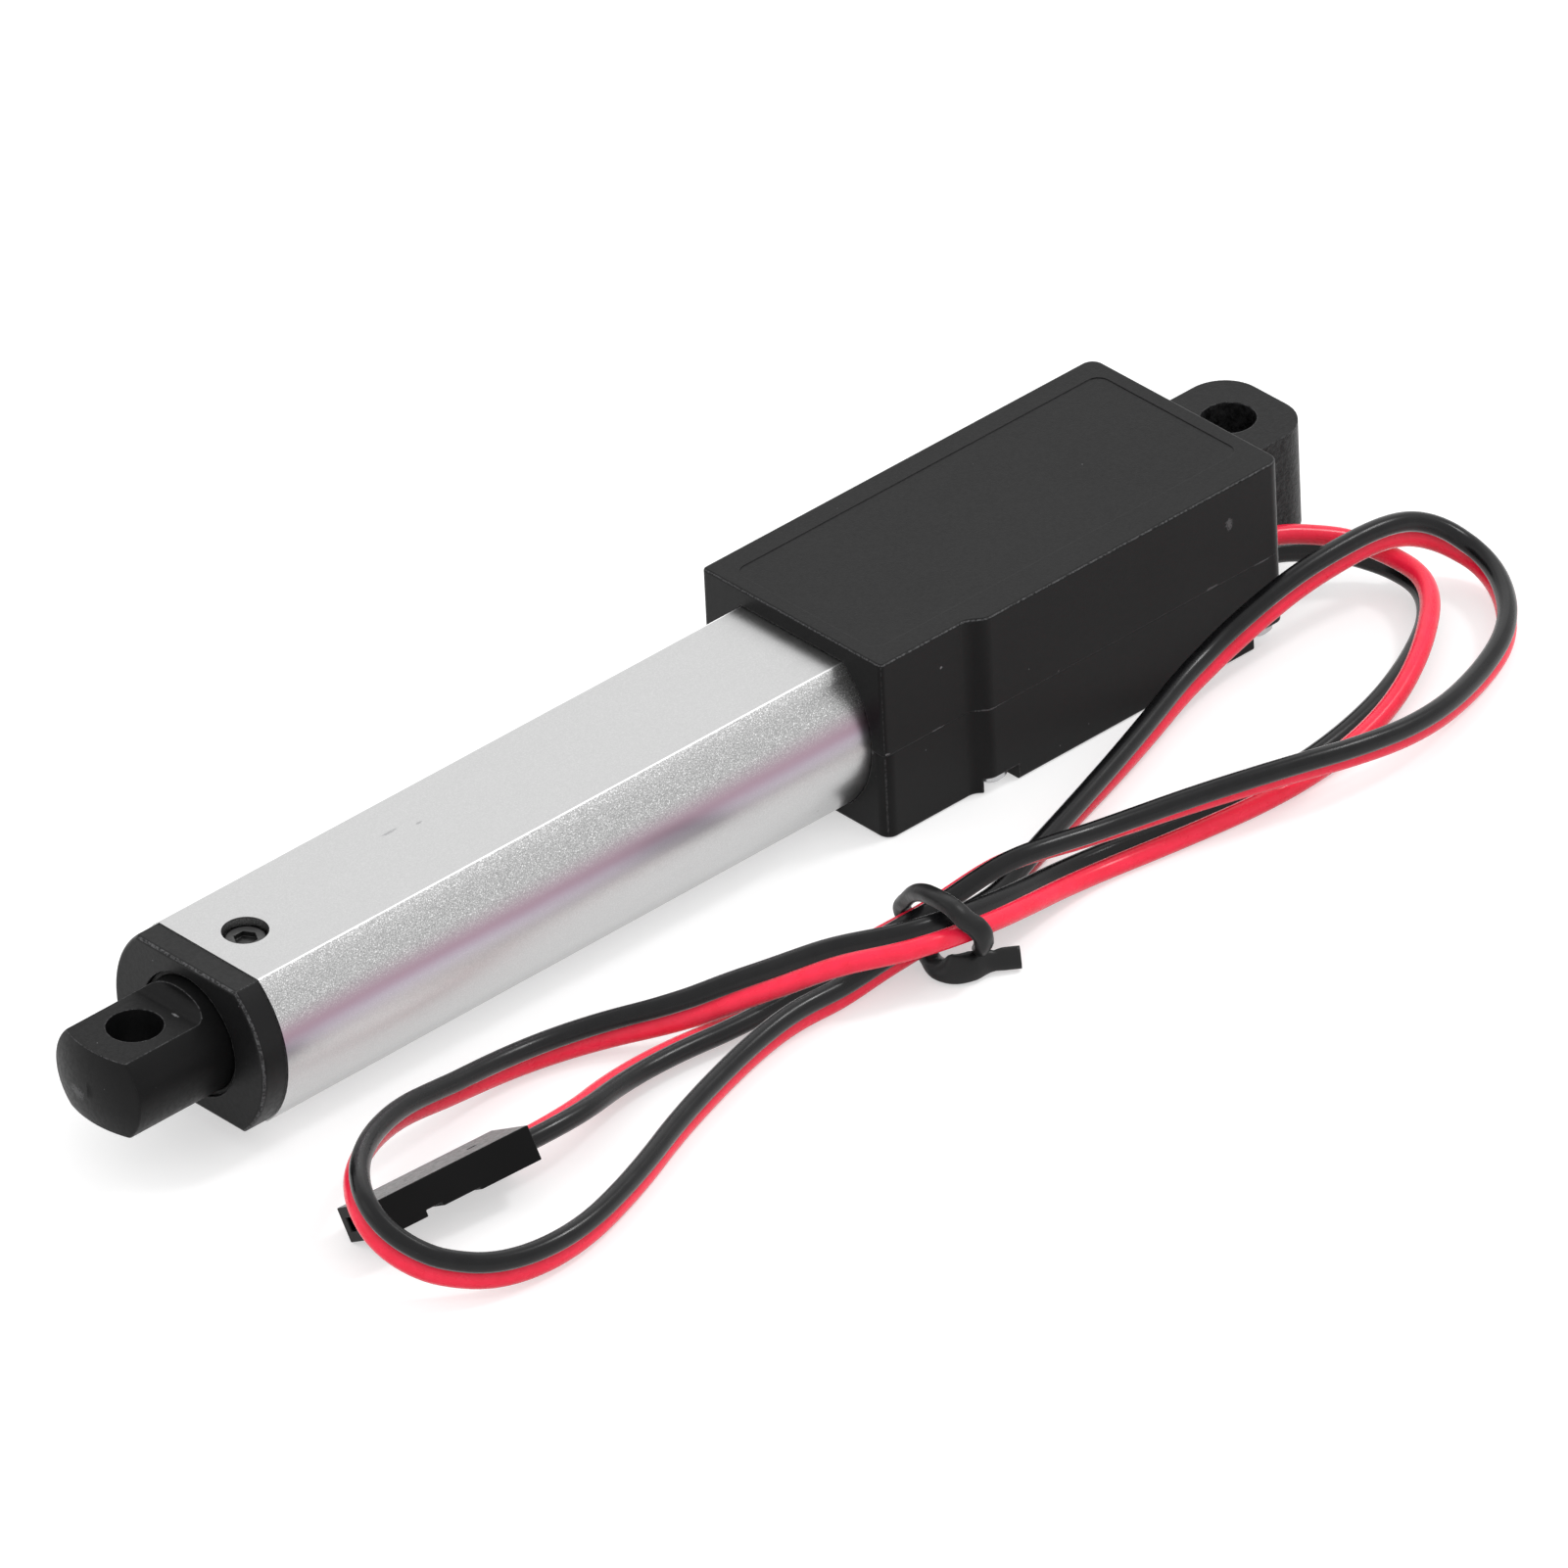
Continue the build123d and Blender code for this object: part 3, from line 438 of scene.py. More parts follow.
shellBlack = mouldedPlastic("shellBlack", {
    "dark": (0.0040, 0.0040, 0.0042), "light": (0.0052, 0.0052, 0.0054),
    "roughness": (0.34, 0.42), "specular": 0.14, "grain": 0.00010, "grainDepth": 0.000015,
    "edge": 0.00016, "edgeHighlightAndWear": 0.55, "specks": 0.16, "parting": True, "rounds": "box",
    "marks": [
        ((0.00937, 0.00992, 0.00419), (0.0005, 0.0003, 0.0007), 0.45),
        ((0.0414, 0.00763, -0.00036), (0.0002, 0.0004, 0.0003), 0.9),
        ((0.04123, 0.00904, -0.00012), (0.0006, 0.0002, 0.00012), 0.8),
        ((0.0364, 0.00904, -0.00026), (0.0010, 0.0002, 0.00009), 0.6),
        ((0.0324, 0.0097, -0.00028), (0.0022, 0.0008, 0.00010), 0.5),
        ((0.0064, 0.00992, -0.00032), (0.0012, 0.0002, 0.00009), 0.45),
        ((0.0112, 0.00992, -0.00020), (0.0009, 0.0002, 0.00012), 0.45),
        ((0.03584, 0.00904, 0.00447), (0.00016, 0.00016, 0.00016), 1.0),
    ],
})
capBlack = mouldedPlastic("capBlack", {
    "dark": (0.0055, 0.0055, 0.0058), "light": (0.0080, 0.0080, 0.0083),
    "roughness": (0.36, 0.46), "specular": 0.17, "grain": 0.00014, "grainDepth": 0.000012,
    "edge": 0.00017, "edgeHighlightAndWear": 0.6, "specks": 0.35, "rounds": "cap",
})
rodBlack = mouldedPlastic("rodBlack", {
    "dark": (0.0035, 0.0035, 0.0037), "light": (0.0065, 0.0065, 0.0067),
    "roughness": (0.36, 0.48), "specular": 0.13, "grain": 0.00012, "grainDepth": 0.000014,
    "edge": 0.00012, "edgeHighlightAndWear": 0.7, "specks": 0.6,
    "marks": [
        ((0.1062, -0.0011, -0.00071), (0.0008, 0.0012, 0.0008), 0.35),
        # a painted glint: a small light spot on the top flat near its end
        ((0.09926, 0.00102, 0.0030), (0.00016, 0.0005, 0.0003), 1.0),
    ],
})
plugBlack = mouldedPlastic("plugBlack", {
    "dark": (0.0028, 0.0028, 0.0029), "light": (0.0045, 0.0045, 0.0046),
    "roughness": (0.16, 0.24), "specular": 0.10, "grain": 0.00015, "grainDepth": 0.000004,
    "edge": 0.00006, "edgeHighlightAndWear": 0.15,
})
tieBlack = mouldedPlastic("tieBlack", {
    "dark": (0.005, 0.005, 0.0053), "light": (0.009, 0.009, 0.0094),
    "roughness": (0.30, 0.42), "specular": 0.30, "grain": 0.00022, "grainDepth": 0.00002,
    "edge": 0.00008, "edgeHighlightAndWear": 0.3, "specks": 0.5,
})
sealBlack = mouldedPlastic("sealBlack", {
    "dark": (0.003, 0.003, 0.003), "light": (0.005, 0.005, 0.005),
    "roughness": (0.5, 0.6), "specular": 0.2, "grain": 0.0002, "grainDepth": 0.00001,
})
nutWhite = mouldedPlastic("nutWhite", {
    "dark": (0.78, 0.77, 0.73), "light": (0.84, 0.83, 0.79), "highlightAndWear": (0.88, 0.87, 0.83),
    "roughness": (0.35, 0.45), "specular": 0.5, "grain": 0.0002, "grainDepth": 0.00001,
})
diodeBlack = mouldedPlastic("diodeBlack", {
    "dark": (0.015, 0.015, 0.016), "light": (0.03, 0.03, 0.03),
    "roughness": (0.3, 0.4), "specular": 0.4, "grain": 0.0001, "grainDepth": 0.00001,
})
boardGreen = mouldedPlastic("boardGreen", {
    "dark": (0.01, 0.10, 0.04), "light": (0.02, 0.16, 0.06), "highlightAndWear": (0.3, 0.42, 0.3),
    "roughness": (0.3, 0.4), "specular": 0.5, "grain": 0.0002, "grainDepth": 0.00001,
})


def metalFinish(name, shade, roughness, stretch, lineScale, depth):
    # turned or drawn metal: lines drawn out along one axis
    material, tree, shader = newMaterial(name)
    vector = objectPlace(tree, stretch)
    lines = noiseAt(tree, vector, lineScale, 4)
    patches = noiseAt(tree, objectPlace(tree), 260, 3)
    darker = tuple(0.88 * level for level in shade)
    tree.links.new(ramp(tree, patches, [(0.35, darker), (0.65, shade)]), shader.inputs["Base Color"])
    shader.inputs["Metallic"].default_value = 1.0
    low, high = roughness
    tree.links.new(ramp(tree, lines, greys((0.35, low), (0.65, high))), shader.inputs["Roughness"])
    rounded, _ = softEdges(tree, 0.00008)
    bumpFrom(tree, shader, [(lines, depth, 0.5)], rounded)
    return material


steelTurned = metalFinish("steelTurned", shade=(0.56, 0.56, 0.57), roughness=(0.22, 0.38),
                          stretch=(8, 1, 1), lineScale=2500, depth=0.000004)
steelBlackened = metalFinish("steelBlackened", shade=(0.085, 0.085, 0.085), roughness=(0.30, 0.48),
                             stretch=(1, 1, 1), lineScale=3500, depth=0.00003)
brassTurned = metalFinish("brassTurned", shade=(0.74, 0.56, 0.27), roughness=(0.22, 0.36),
                          stretch=(8, 1, 1), lineScale=2500, depth=0.000004)
magnetGrey = metalFinish("magnetGrey", shade=(0.16, 0.16, 0.17), roughness=(0.45, 0.6),
                         stretch=(1, 1, 1), lineScale=5000, depth=0.00001)
contactTin = metalFinish("contactTin", shade=(0.70, 0.68, 0.62), roughness=(0.25, 0.35),
                         stretch=(1, 1, 1), lineScale=3000, depth=0.000004)


tube = {
    # the flats are painted darker than the round sides: a painted shade
    "flatPaintedShade": 0.46,
    "roundShade": 0.56,
    "flatHalf": 0.00579,       # height of the flats
    "edgeHalf": 0.00509,       # where a flat meets the round side
    # a painted highlight along the edges of the flats
    "edgeLine": 0.00009,
    "edgeHighlightShade": (0.97, 0.97, 0.97),
    "glintScale": 11500,
    "gritDepth": 0.000010,
    # a painted reflection: a mauve stripe along the near side
    "reflectionShade": (0.34, 0.235, 0.29),
    "reflectionLowShade": (0.42, 0.37, 0.46),
    "reflectionAngle": 14.5,        # degrees above the middle of the near side
    "reflectionWidth": 14.0,
    "reflectionStrength": 0.95,
    "scratchShade": (0.16, 0.16, 0.17),
    "scratches": [
        ((0.07706, -0.00181, 0.00579), (0.0010, 0.00022, 0.0005), 0.45),
        ((0.07482, -0.00121, 0.00579), (0.0004, 0.00016, 0.0005), 0.45),
        ((0.04585, 0.0070, -0.00359), (0.0003, 0.0003, 0.0003), 0.6),
    ],
}


def scaledBy(tree, value, level, *stops):
    # greys of a ramp, each a multiple of one level
    return ramp(tree, value, greys(*[(place, times * level) for place, times in stops]))


def paintedReflectionStripe(tree, metal, y, z, broad):
    # a painted reflection: a soft stripe along the near side, bluer towards its lower edge
    angle = sums(tree, "DEGREES", sums(tree, "ARCTAN2", z, y))
    wander = sums(tree, "MULTIPLY_ADD", broad, 5.0, -2.5)
    offset = sums(tree, "ADD", sums(tree, "SUBTRACT", angle, tube["reflectionAngle"]), wander)
    reflectionShare = spread(tree, sums(tree, "ABSOLUTE", offset), 0.0, tube["reflectionWidth"], tube["reflectionStrength"], 0.0)
    hue = mixShade(tree, spread(tree, offset, -8.0, 2.0), tube["reflectionLowShade"], tube["reflectionShade"])
    return mixShade(tree, reflectionShare, metal, hue)


def paintedEdgeHighlight(tree, y, z):
    # a painted highlight: one on the lines where the flats meet the round sides
    fromEdge = tree.nodes.new("ShaderNodeCombineXYZ")
    for i, (value, half) in enumerate(((y, tube["edgeHalf"]), (z, tube["flatHalf"]))):
        tree.links.new(sums(tree, "SUBTRACT", sums(tree, "ABSOLUTE", value), half), fromEdge.inputs[i])
    gap = vectorSums(tree, "LENGTH", fromEdge.outputs[0])
    highlightBreaks = spread(tree, noiseAt(tree, objectPlace(tree, (0.2, 1, 1)), 900, 3), 0.25, 0.5, 0.55, 1.0)
    return product(tree, spread(tree, gap, tube["edgeLine"], 0.3 * tube["edgeLine"]), highlightBreaks)


def drawnAluminium():
    # satin tube: blasted grain, finer on the flats, with painted glints on its upper shoulder; the flats are
    # painted darker than the round sides as painted shade
    material, tree, shader = newMaterial("tubeAluminium")
    vector = objectPlace(tree)
    _, y, z = axesOf(tree, vector)
    glint = noiseAt(tree, vector, tube["glintScale"], 1.5, 0.5)
    lines = noiseAt(tree, objectPlace(tree, (0.04, 1, 1)), 3800, 4)
    broad = noiseAt(tree, objectPlace(tree, (0.15, 1, 1)), 220, 3)
    flat = tube["flatHalf"]
    shoulder = product(tree, spread(tree, z, 0.0003, 0.0036), spread(tree, z, flat - 0.00002, flat - 0.00007))
    shoulder = sums(tree, "MULTIPLY_ADD", shoulder, 0.9, 0.06)
    onFlat = spread(tree, sums(tree, "ABSOLUTE", z), flat - 0.00005, flat - 0.00002)
    # the flats carry a painted shade, darker than the round sides
    shadedFlat = scaledBy(tree, glint, tube["flatPaintedShade"], (0.3, 0.96), (0.7, 1.03))
    calmRound = scaledBy(tree, glint, tube["roundShade"], (0.3, 0.94), (0.7, 1.05))
    # painted glints: bright points on the upper shoulder
    paintedGlints = scaledBy(tree, glint, tube["roundShade"], (0.33, 0.60), (0.50, 0.86), (0.62, 1.12), (0.70, 1.75))
    metal = mixShade(tree, shoulder, mixShade(tree, onFlat, calmRound, shadedFlat), paintedGlints)
    finished = paintedReflectionStripe(tree, metal, y, z, broad)
    finished = mixShade(tree, paintedEdgeHighlight(tree, y, z), finished, tube["edgeHighlightShade"])
    scratched = anyOf(tree, allMarks(tree, vector, tube["scratches"]))
    finished = mixShade(tree, scratched, finished, tube["scratchShade"])
    tree.links.new(finished, shader.inputs["Base Color"])
    shader.inputs["Metallic"].default_value = 1.0
    tree.links.new(ramp(tree, lines, greys((0.3, 0.28), (0.7, 0.33))), shader.inputs["Roughness"])
    bumpFrom(tree, shader, [(product(tree, glint, shoulder), tube["gritDepth"], 0.5)])
    return material


tubeAluminium = drawnAluminium()


# how the wires' insulation is drawn out along them
insulation = {
    "lineStretch": (60, 3, 1),
    "lineScale": 3,
    "lineDepth": 0.00001,
    "spotScale": 900,
    "spotDepth": 0.00001,
    "roughness": (0.22, 0.32),
}


def wireCover(name, shade, darker, specular):
    # extruded insulation: faint lines along it, slow changes of gloss
    material, tree, shader = newMaterial(name)
    place = tree.nodes.new("ShaderNodeUVMap")
    place.uv_map = "alongAround"
    mapping = tree.nodes.new("ShaderNodeMapping")
    mapping.inputs["Scale"].default_value = insulation["lineStretch"]
    tree.links.new(place.outputs["UV"], mapping.inputs["Vector"])
    lines = noiseAt(tree, mapping.outputs["Vector"], insulation["lineScale"], 3)
    spots = noiseAt(tree, objectPlace(tree), insulation["spotScale"], 2)
    tree.links.new(ramp(tree, spots, [(0.3, darker), (0.62, shade)]), shader.inputs["Base Color"])
    low, high = insulation["roughness"]
    tree.links.new(ramp(tree, lines, greys((0.3, low), (0.7, high))), shader.inputs["Roughness"])
    shader.inputs["Specular IOR Level"].default_value = specular
    bumpFrom(tree, shader, [(lines, insulation["lineDepth"], 0.4), (spots, insulation["spotDepth"], 0.3)])
    return material


wireRed = wireCover("wireRed", shade=(0.95, 0.022, 0.066), darker=(0.88, 0.017, 0.052), specular=0.30)
wireBlack = wireCover("wireBlack", shade=(0.0065, 0.0065, 0.0071), darker=(0.0045, 0.0045, 0.005),
                      specular=0.26)

paintedOn(shellBlack, "upper_housing", "lower_housing")
paintedOn(capBlack, "front_cap")
paintedOn(rodBlack, "rod")
paintedOn(tubeAluminium, "tube")
paintedOn(sealBlack, "rod_seal")
paintedOn(nutWhite, "drive_nut")
paintedOn(boardGreen, "limit_board")
paintedOn(diodeBlack, "board_diodes")
paintedOn(contactTin, "limit_contacts", "connector_contacts", "motor_terminals")
paintedOn(magnetGrey, "motor_magnets")
paintedOn(brassTurned, "first_gear", "second_gear", "third_gear", "output_gear", "screw_bearing")
paintedOn(steelTurned, "housing_screws", "lead_screw", "screw_coupling", "gearbox_rear_plate",
          "gearbox_front_plate", "gearbox_posts", "gear_axle", "motor_can", "motor_rotor")
paintedOn(steelBlackened, "cap_screw")
paintedOn(diodeBlack, "motor_end_cap")
innerRed = mouldedPlastic("innerRed", {
    "dark": (0.72, 0.02, 0.045), "light": (0.80, 0.025, 0.055), "highlightAndWear": (0.85, 0.2, 0.22),
    "roughness": (0.35, 0.45), "specular": 0.4, "grain": 0.0003, "grainDepth": 0.00001,
})
paintedOn(innerRed, "inner_wires")
print("materials made")


# each row is a point of the route and the angle, in degrees, of the red wire round the pair's middle:
# 0 is to the left of the direction in which the lead runs, 90 on top, 180 to the right
lead = {
    "wireRadius": 0.000725,
    "wireOffset": 0.0007,      # of each wire from the pair's middle
    "length": 0.358,
    "ringStep": 0.0005,
    "ringPoints": 12,          # of each wire
    "lookAhead": 60,           # rings searched for the next route point
    "twistReach": 6,           # rings on either side that a twist is softened over
    "lowBelow": -0.0045,       # under this the pair settles towards the floor
    "lowReach": 0.0016,
    "routeReach": 0.001025,    # the height that the route's lowest points allow for
    "route": [
        (0.0056, 0.00598, -0.0025, 88),
        (0.0036, 0.00598, -0.0025, 86),
        (0.0016, 0.0064, -0.0026, 84),
        (-0.0011, 0.0075, -0.0034, 92),
        (-0.0033, 0.0087, -0.0041, 104),
        (-0.0048, 0.0109, -0.0048, 108),
        (-0.0049, 0.0138, -0.0054, 98),
        (-0.0031, 0.0167, -0.0057, 80),
        (0.0003, 0.0193, -0.0058, 58),
        (0.0040, 0.0213, -0.0060, 33),
        (0.0084, 0.0229, -0.0061, 10),
        (0.0139, 0.0240, -0.00615, 0),
        (0.0200, 0.0244, -0.00615, -5),
        (0.0277, 0.0235, -0.00615, -9),
        (0.0362, 0.0221, -0.00615, -13),
        (0.0451, 0.0243, -0.0040, -20),
        (0.0524, 0.0245, -0.0026, -28),
        (0.0577, 0.0209, -0.0037, -36),
        (0.0631, 0.0191, -0.0038, -54),
        (0.0682, 0.0168, -0.0047, -80),
        (0.0726, 0.0136, -0.0058, -94),
        (0.0784, 0.0120, -0.0059, -103),
        (0.0858, 0.0127, -0.0044, -111),
        (0.0915, 0.0136, -0.0032, -116),
        (0.0972, 0.0166, -0.0023, -113),
        (0.1013, 0.0213, -0.0016, -104),
        (0.1018, 0.0247, -0.0031, -94),
        (0.1000, 0.0277, -0.0047, -86),
        (0.0965, 0.0304, -0.0057, -81),
        (0.0906, 0.0310, -0.0059, -78),
        (0.0832, 0.0287, -0.0061, -77),
        (0.0748, 0.0250, -0.0061, -76),
        (0.0637, 0.0216, -0.00615, -71),
        (0.0555, 0.0218, -0.0056, -68),
        (0.0494, 0.0223, -0.0049, -64),
        (0.0404, 0.0204, -0.0056, -64),
        (0.0322, 0.0174, -0.00615, -70),
        (0.0232, 0.0146, -0.0056, -80),
        (0.0140, 0.0113, -0.0048, -86),
        (0.0068, 0.01125, -0.0027, -84),
        (0.0019, 0.01125, -0.0020, -80),
        (-0.0031, 0.0114, -0.0020, -75),
        (-0.0075, 0.0119, -0.0033, -73),
        (-0.0094, 0.0146, -0.0049, -78),
        (-0.0084, 0.0185, -0.0059, -86),
        (-0.0048, 0.0228, -0.0060, -96),
        (0.0004, 0.0254, -0.0060, -108),
        (0.0073, 0.0277, -0.0051, -116),
        (0.0141, 0.0278, -0.0041, -121),
        (0.0201, 0.0263, -0.0037, -123),
        (0.0265, 0.0242, -0.0038, -127),
        (0.0333, 0.0224, -0.0039, -134),
        (0.0395, 0.0216, -0.0033, -140),
        (0.0458, 0.0205, -0.0047, -143),
        (0.0517, 0.0193, -0.0053, -146),
        (0.0571, 0.0191, -0.00615, -149),
        (0.0642, 0.0191, -0.00615, -154),
        (0.0699, 0.0184, -0.0061, -155),
        (0.0755, 0.0187, -0.0058, -155),
        (0.082119, 0.021387, -0.00421, -152),
        (0.086701, 0.0210, -0.004351, -148),
    ],
}


# how strands that cross are eased apart; counts are of rings
ease = {
    "rounds": 30,
    "room": 2.04,              # of wire radii, between two wires' middles
    "sameStrand": 14,
    "bellReach": 12,
    "bellWidth": 4.5,
    "share": 0.6,
    "heldStart": 6,
    "heldEnd": 24,
}


def easeApart(points, toRed, radius, offset):
    # strands that cross or run together rest on each other, not in each other
    count, room = len(points), ease["room"] * radius
    ring = np.arange(2 * count) % count
    bell = np.exp(-0.5 * (np.arange(-ease["bellReach"], ease["bellReach"] + 1) / ease["bellWidth"]) ** 2)
    bell /= bell.sum()
    for _ in range(ease["rounds"]):
        wires = np.concatenate([points + toRed * offset, points - toRed * offset])
        gaps = wires[:, None, :] - wires[None, :, :]
        reach = np.linalg.norm(gaps, axis=2)
        close = (reach < room) & (np.abs(ring[:, None] - ring[None, :]) > ease["sameStrand"])
        if not close.any():
            break
        push = np.zeros((count, 3))
        for i, j in zip(*np.nonzero(close)):
            shift = gaps[i, j] / max(reach[i, j], 1e-6) * (room - reach[i, j]) * 0.5
            if np.linalg.norm(shift) > np.linalg.norm(push[ring[i]]):
                push[ring[i]] = shift
        top = np.linalg.norm(push, axis=1).max()
        soft = np.stack([np.convolve(push[:, k], bell, mode="same") for k in range(3)], 1)
        soft *= top / max(np.linalg.norm(soft, axis=1).max(), 1e-9)
        soft[:ease["heldStart"]] = 0
        soft[-ease["heldEnd"]:] = 0
        points = points + ease["share"] * soft
        points[:, 2] = np.maximum(points[:, 2], floorHeight + radius + offset * np.abs(toRed[:, 2]))
    return points


def makeLead():
    radius, offset = lead["wireRadius"], lead["wireOffset"]
    route = np.array(lead["route"], float)
    points, along = spacedEvenly(splinePoints(route), lead["ringStep"])
    twist = np.radians(np.interp(along, alongAt(points, along, route, lead["lookAhead"]), route[:, 3]))
    window = 2 * lead["twistReach"] + 1
    padded = np.pad(twist, lead["twistReach"], mode="edge")
    twist = np.convolve(padded, np.ones(window) / window, mode="valid")
    forward = directions(points)
    left = np.cross((0, 0, 1), forward)
    left /= np.linalg.norm(left, axis=1)[:, None]
    up = np.cross(forward, left)
    toRed = np.cos(twist)[:, None] * left + np.sin(twist)[:, None] * up
    across = np.cross(forward, toRed)
    # a flat pair lies lower than a stacked one
    reach = radius + offset * np.abs(toRed[:, 2])
    near = np.clip((lead["lowBelow"] - points[:, 2]) / lead["lowReach"], 0, 1)
    points[:, 2] += near * (reach - lead["routeReach"])
    points[:, 2] = np.maximum(points[:, 2], floorHeight + reach)
    points = easeApart(points, toRed, radius, offset)
    count = lead["ringPoints"]
    waist = math.pi - math.acos(offset / radius)
    angles = np.linspace(-waist, waist, count)
    rings = []
    for middle, red, side in zip(points, toRed, across):
        ring = [middle + red * (offset + radius * math.cos(a)) + side * radius * math.sin(a) for a in angles]
        ring += [middle - red * (offset + radius * math.cos(a)) - side * radius * math.sin(a) for a in angles]
        rings.append(ring)
    waists = (0, count - 1, count, 2 * count - 1)
    piece = meshFromRings("twinLead", rings, lambda j: 0 if j < count - 1 else 1, waists)
    piece.data.materials.append(wireRed)
    piece.data.materials.append(wireBlack)
    # the lead's own reflection in the tube is replaced by the painted reflection stripe
    piece.visible_glossy = False     # the satin tube shows only the pale room
    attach(piece, "housing")
    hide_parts("power_lead")
    return piece, points, np.concatenate([points + toRed * offset, points - toRed * offset])


twinLead, leadLine, leadWires = makeLead()
print("lead made", len(leadLine), "rings")


# each row is a point of the route, the direction in which the band is wide, and its half width
# and half thickness
tie = {
    "ringStep": 0.0002,
    "ringPoints": 18,
    "lookAhead": 40,
    "squareness": 0.75,        # 1 is an ellipse, less is squarer
    "spare": 0.0001,           # kept between the band and the wires
    "rounds": 40,
    "closeEnough": 0.00001,
    "route": [
        (0.0474, 0.0246, -0.0061, 0.90, 0.20, -0.20, 0.00066, 0.00036),
        (0.0476, 0.0250, -0.0054, 0.90, 0.15, -0.25, 0.00062, 0.00042),
        (0.0482, 0.0256, -0.0043, 0.90, 0.10, -0.30, 0.00072, 0.00056),
        (0.0490, 0.0259, -0.0029, 0.90, 0.20, -0.20, 0.00076, 0.00064),
        (0.0496, 0.0256, -0.0018, 0.90, 0.30, 0.00, 0.00074, 0.00062),
        (0.0498, 0.0247, -0.0012, 0.95, 0.25, 0.05, 0.00068, 0.00056),
        (0.0497, 0.0229, -0.0013, 0.95, 0.20, 0.10, 0.00068, 0.00055),
        (0.0493, 0.0211, -0.0019, 0.95, 0.25, 0.05, 0.00068, 0.00055),
        (0.0488, 0.0194, -0.0031, 0.95, 0.30, 0.00, 0.00068, 0.00055),
        (0.0486, 0.0183, -0.0047, 0.95, 0.30, 0.00, 0.00068, 0.00052),
        (0.0481, 0.0180, -0.0062, 0.95, 0.10, 0.10, 0.00068, 0.00045),
        (0.0485, 0.0196, -0.0068, 0.90, -0.40, 0.00, 0.00070, 0.00036),
        (0.0497, 0.0222, -0.0068, 0.90, -0.43, 0.00, 0.00075, 0.00036),
        (0.0504, 0.0238, -0.0066, 0.80, -0.20, -0.40, 0.00090, 0.00038),
        (0.0502, 0.0250, -0.0063, 0.40, 0.40, -0.83, 0.00104, 0.00040),
        (0.0490, 0.0256, -0.0062, 0.20, 0.48, -0.83, 0.00104, 0.00040),
        (0.0478, 0.0256, -0.0063, 0.20, 0.48, -0.83, 0.00086, 0.00040),
        (0.0472, 0.0259, -0.0064, 0.25, 0.48, -0.83, 0.00072, 0.00042),
        (0.0467, 0.0262, -0.0064, 0.30, 0.48, -0.83, 0.00080, 0.00038),
        (0.0457, 0.0269, -0.0064, 0.36, 0.45, -0.83, 0.00080, 0.00036),
    ],
}


def laidOn(points, wires, room, lowest):
    # the band lies on the wires: where it would cut into one it is moved out
    rows = np.arange(len(points))
    for _ in range(tie["rounds"]):
        gaps = points[:, None, :] - wires[None, :, :]
        away = np.linalg.norm(gaps, axis=2)
        nearest = np.argmin(away, axis=1)
        lack = np.clip(room - away[rows, nearest], 0, None)
        if lack.max() < tie["closeEnough"]:
            break
        push = gaps[rows, nearest] / away[rows, nearest][:, None] * lack[:, None]
        soft = np.stack([np.convolve(push[:, k], np.ones(5) / 5, mode="same") for k in range(3)], 1)
        points = points + soft
        points[:, 2] = np.maximum(points[:, 2], lowest)
    return points


def superellipse(count, power):
    # the shares of the half width and of the half thickness round a squarish ring
    turns = [2 * math.pi * k / count for k in range(count)]
    pairs = [(math.cos(angle), math.sin(angle)) for angle in turns]
    return [[math.copysign(abs(value) ** power, value) for value in pair] for pair in pairs]


def makeTie():
    route = np.array(tie["route"], float)
    points, along = spacedEvenly(splinePoints(route), tie["ringStep"])
    places = alongAt(points, along, route, tie["lookAhead"])
    sized = np.stack([np.interp(along, places, route[:, 3 + i]) for i in range(5)], 1)
    wide, halves = sized[:, :3], sized[:, 3:]
    forward = directions(points)
    wide -= forward * np.sum(wide * forward, axis=1)[:, None]
    wide /= np.linalg.norm(wide, axis=1)[:, None]
    thick = np.cross(forward, wide)
    reach = halves[:, 0] * np.abs(wide[:, 2]) + halves[:, 1] * np.abs(thick[:, 2])
    lowest = floorHeight + reach
    points[:, 2] = np.maximum(points[:, 2], lowest)
    points = laidOn(points, leadWires, lead["wireRadius"] + halves[:, 1] + tie["spare"], lowest)
    outline = superellipse(tie["ringPoints"], tie["squareness"])
    rings = [[middle + w * a * c + t * b * s for c, s in outline]
             for middle, w, t, (a, b) in zip(points, wide, thick, halves)]
    piece = meshFromRings("twistTie", rings, lambda j: 0)
    piece.data.materials.append(tieBlack)
    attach(piece, "housing")
    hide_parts("cable_tie")
    return piece


twistTie = makeTie()
print("tie made")


# the connector's shell, drawn upright with its wire end at the origin and then laid down
plug = {
    "corner": (0.0869, 0.02247, -0.00193),
    "across": (-0.08772, -0.84386, -0.52935),
    "down": (0.01871, 0.52991, -0.84785),
    "along": (0.99597, -0.08428, -0.03069),
    "length": 0.0132,
    "width": 0.00508,
    "height": 0.00254,
    "edge": 0.00008,
    "grooveStart": 0.0082,
    "grooveEnd": 0.0096,
    "grooveDepth": 0.00045,
    "stepStart": 0.0051,
    "stepDepth": 0.00018,
    "pinHalf": 0.0005,
    "pinDepth": 0.0012,
    "wireHalf": 0.00085,
    "wireDepth": 0.0008,
    "nickFrom": (0.0022, 0.0031),
    "nickTo": (0.0024, 0.0037),
    "nickDepth": 0.0002,
    "past": 0.001,             # how far a cutter stands out of the shell
}


def boxBetween(name, low, high):
    bpy.ops.mesh.primitive_cube_add(size=1)
    box = bpy.context.object
    box.name = name
    box.scale = [h - l for l, h in zip(low, high)]
    box.location = [(h + l) / 2 for l, h in zip(low, high)]
    bpy.ops.object.transform_apply(location=True, rotation=True, scale=True)
    return box


